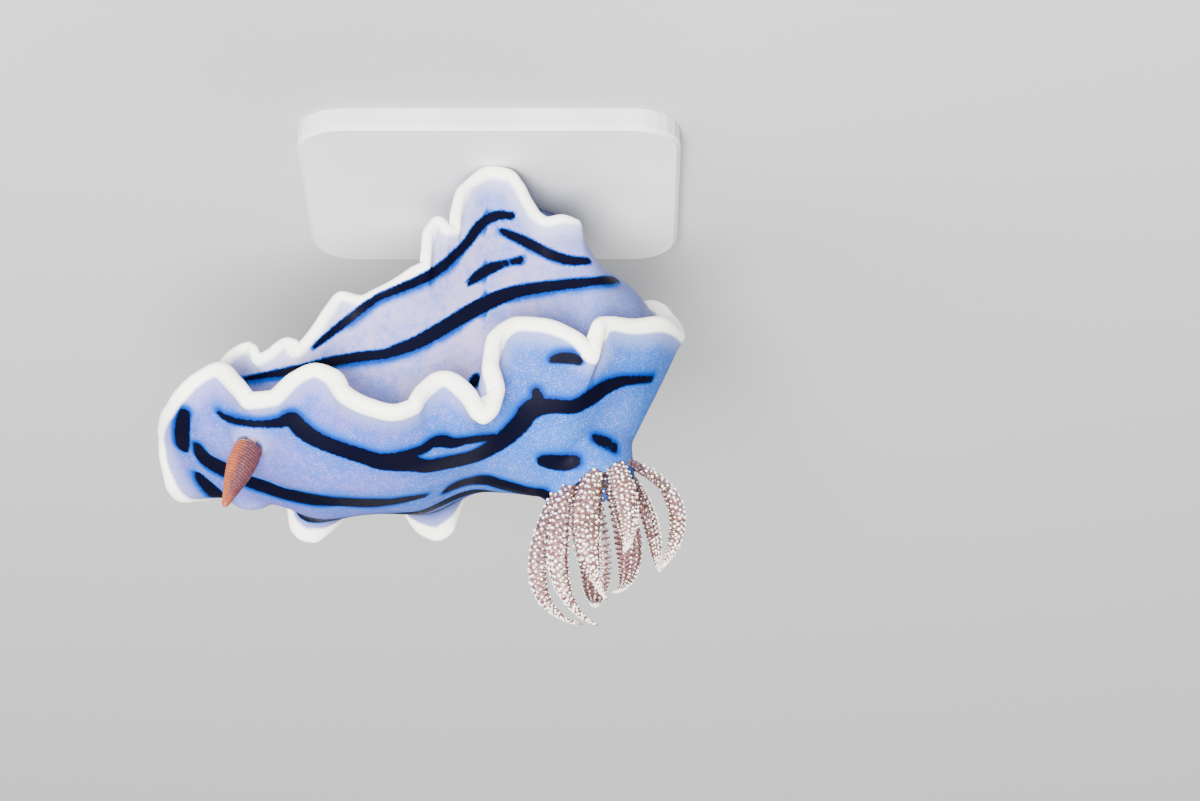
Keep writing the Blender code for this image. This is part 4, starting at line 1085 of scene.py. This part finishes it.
# A bead is a ball with 20 faces, shaded smooth. The rows lie at these turns round a plume, every second
# one half a leaflet further on. Each bead strays a little along and round, and in size.
BEAD_ROWS = (0.2, 0.63, 0.97, 1.27, 1.571, 1.87, 2.17, 2.51, 2.94, 4.1, 4.72, 5.34)
BEAD_SIZES = (0.07, 0.105, 0.105, 0.115, 0.11, 0.115, 0.105, 0.105, 0.07, 0.08, 0.09, 0.08)
BEAD_STAGGER = 0.5
BEAD_STRAY = (0.12, 0.05)
BEAD_VARY = (0.7, 1.25)
BEAD_TAPER = (0.95, 1.05, 0.7)
BEAD_LAST = 0.985
SEED = 5


def ball():
    """The points and faces of a small ball: an icosahedron with its corners on the unit sphere."""
    shape = bmesh.new()
    bmesh.ops.create_icosphere(shape, subdivisions=1, radius=1.0)
    corners = np.array([vert.co for vert in shape.verts])
    faces = np.array([[vert.index for vert in face.verts] for face in shape.faces])
    shape.free()
    return corners, faces


ball_points, ball_faces = ball()
GILL_BROWN = rgb(0.12, 0.052, 0.048)
GILL_PINK = rgb(0.22, 0.095, 0.10)
GILL_PAINTED_SHADE = rgb(0.05, 0.018, 0.015)
BEAD_CREAM = rgb(0.82, 0.72, 0.42)
BEAD_WHITE = rgb(0.92, 0.88, 0.88)
BEAD_PINK = rgb(0.78, 0.50, 0.52)
gill = Finish("gill_skin")
gill.colour = GILL_BROWN
gill.lay(GILL_PINK, gill.noise(1.2 * MM), 0.35, 0.65)
# Painted shade: the gill skin darkens in the grooves between its leaflets, and more at each plume's two
# sides, where the plumes shade one another.
gill.lay(GILL_PAINTED_SHADE, gill.value("groove"), 0.35, 1.0, 0.7)
gill.lay(GILL_PAINTED_SHADE, gill.value("margin"), 0.6, 0.95, 0.9)
gill.lay(BEAD_WHITE, gill.grains(0.14 * MM), 0.32, 0.12, 0.55)
gill.set(base_color=gill.colour, roughness=0.32, subsurface_weight=0.5,
         subsurface_radius=(1.0, 0.5, 0.4), subsurface_scale=0.4 * MM, specular_ior_level=0.5)
gill.bump(gill.noise(0.1 * MM), 0.25, 0.02 * MM)
bead = Finish("bead_white")
bead.colour = BEAD_CREAM
bead.lay(BEAD_WHITE, bead.value("tint"), 0.15, 0.45)
bead.lay(BEAD_PINK, bead.value("tint"), 0.6, 1.0, 0.85)
bead.set(base_color=bead.colour, roughness=0.22, subsurface_weight=0.2,
         subsurface_radius=(1.0, 0.8, 0.6), subsurface_scale=0.15 * MM, specular_ior_level=0.6)
chance = np.random.default_rng(SEED)
turn, share = round_and_up(PLUME_SIDES, PLUME_LEAFLETS * RINGS_A_LEAFLET + 1)
for number, row in enumerate(PLUMES, 1):
    piece = add_rings(f"gill_plume_{number}", plume_skin(row, share, turn), gill.material,
                      groove=leaflet_groove(share, turn), margin=np.abs(np.cos(turn)))
    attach(piece, "root")
    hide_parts(f"gill_{number}")

    bead_turn, leaflet = np.meshgrid(np.array(BEAD_ROWS), np.arange(2, PLUME_LEAFLETS - 1))
    bead_share = (leaflet + LEAFLET_SLANT * np.abs(np.cos(bead_turn))) / PLUME_LEAFLETS
    bead_share += BEAD_STAGGER * (np.arange(len(BEAD_ROWS)) % 2) / PLUME_LEAFLETS
    bead_share += chance.normal(0.0, BEAD_STRAY[0], bead_share.shape) / PLUME_LEAFLETS
    bead_turn = bead_turn + chance.normal(0.0, BEAD_STRAY[1], bead_turn.shape)
    size = np.array(BEAD_SIZES) * MM * chance.uniform(*BEAD_VARY, bead_share.shape)
    size = size * np.interp(bead_share, (0.0, 0.5, 1.0), BEAD_TAPER)
    keep = bead_share < BEAD_LAST
    middle = plume_skin(row, bead_share[keep], bead_turn[keep])
    balls = middle[:, None] + size[keep][:, None, None] * ball_points[None]
    faces = ball_faces[None] + (np.arange(len(middle)) * len(ball_points))[:, None, None]
    piece = add_piece(f"gill_beads_{number}", balls.reshape(-1, 3), faces.reshape(-1, 3), bead.material)
    keep_values(piece.data, tint=np.repeat(chance.uniform(0.0, 1.0, len(middle)), len(ball_points)))
    piece.data.shade_smooth()
    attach(piece, "root")


# The display base. A small cast plate with a fine matt grain, fixed under the sole. It keeps its packed
# solid, and only its material is made here.
BASE_GREY = rgb(0.56, 0.56, 0.55)
BASE_PALE = rgb(0.62, 0.62, 0.60)
base = Finish("base_cast")
base_grain = base.noise(0.3 * MM, 4.0, 0.6)
base.colour = BASE_GREY
base.lay(BASE_PALE, base.noise(6 * MM, 3.0), 0.3, 0.7)
base.set(base_color=base.colour, roughness=base.ramp(base_grain, 0.3, 0.7, 0.5, 0.66),
         specular_ior_level=0.35)
base.bump(base_grain, 0.3, 0.03 * MM)
for slot in bpy.data.objects["stand_base"].material_slots:
    slot.material = base.material


# The studio. A plain paper floor, three soft square lights that look at the middle of the animal, and an
# even pale sky.
FLOOR = 2.0
ground = Finish("floor_paper")
ground.set(base_color=rgb(0.42, 0.42, 0.42), roughness=0.9)
corners = FLOOR * np.array(((-1, -1, 0), (1, -1, 0), (1, 1, 0), (-1, 1, 0)))
floor = add_piece("floor", corners, np.array(((0, 1, 2, 3),)), ground.material)
LIGHTS = {
    "key": {"from": (0.03, -0.34, 0.22), "size": 0.16, "watts": 7.8},
    "fill": {"from": (0.30, -0.20, 0.20), "size": 0.30, "watts": 1.7},
    "rear": {"from": (-0.10, 0.34, 0.30), "size": 0.30, "watts": 1.5},
}
AIM = Vector((0.0, 0.0, 0.016))
for name, lamp in LIGHTS.items():
    light = bpy.data.lights.new(name, "AREA")
    light.size = lamp["size"]
    light.energy = lamp["watts"]
    holder = bpy.data.objects.new(name, light)
    holder.location = lamp["from"]
    holder.rotation_euler = (AIM - Vector(lamp["from"])).to_track_quat("-Z", "Y").to_euler()
    bpy.context.scene.collection.objects.link(holder)
world = bpy.data.worlds.new("studio")
world.use_nodes = True
world.node_tree.nodes["Background"].inputs["Color"].default_value = (0.85, 0.9, 1.0, 1.0)
world.node_tree.nodes["Background"].inputs["Strength"].default_value = 0.28
bpy.context.scene.world = world
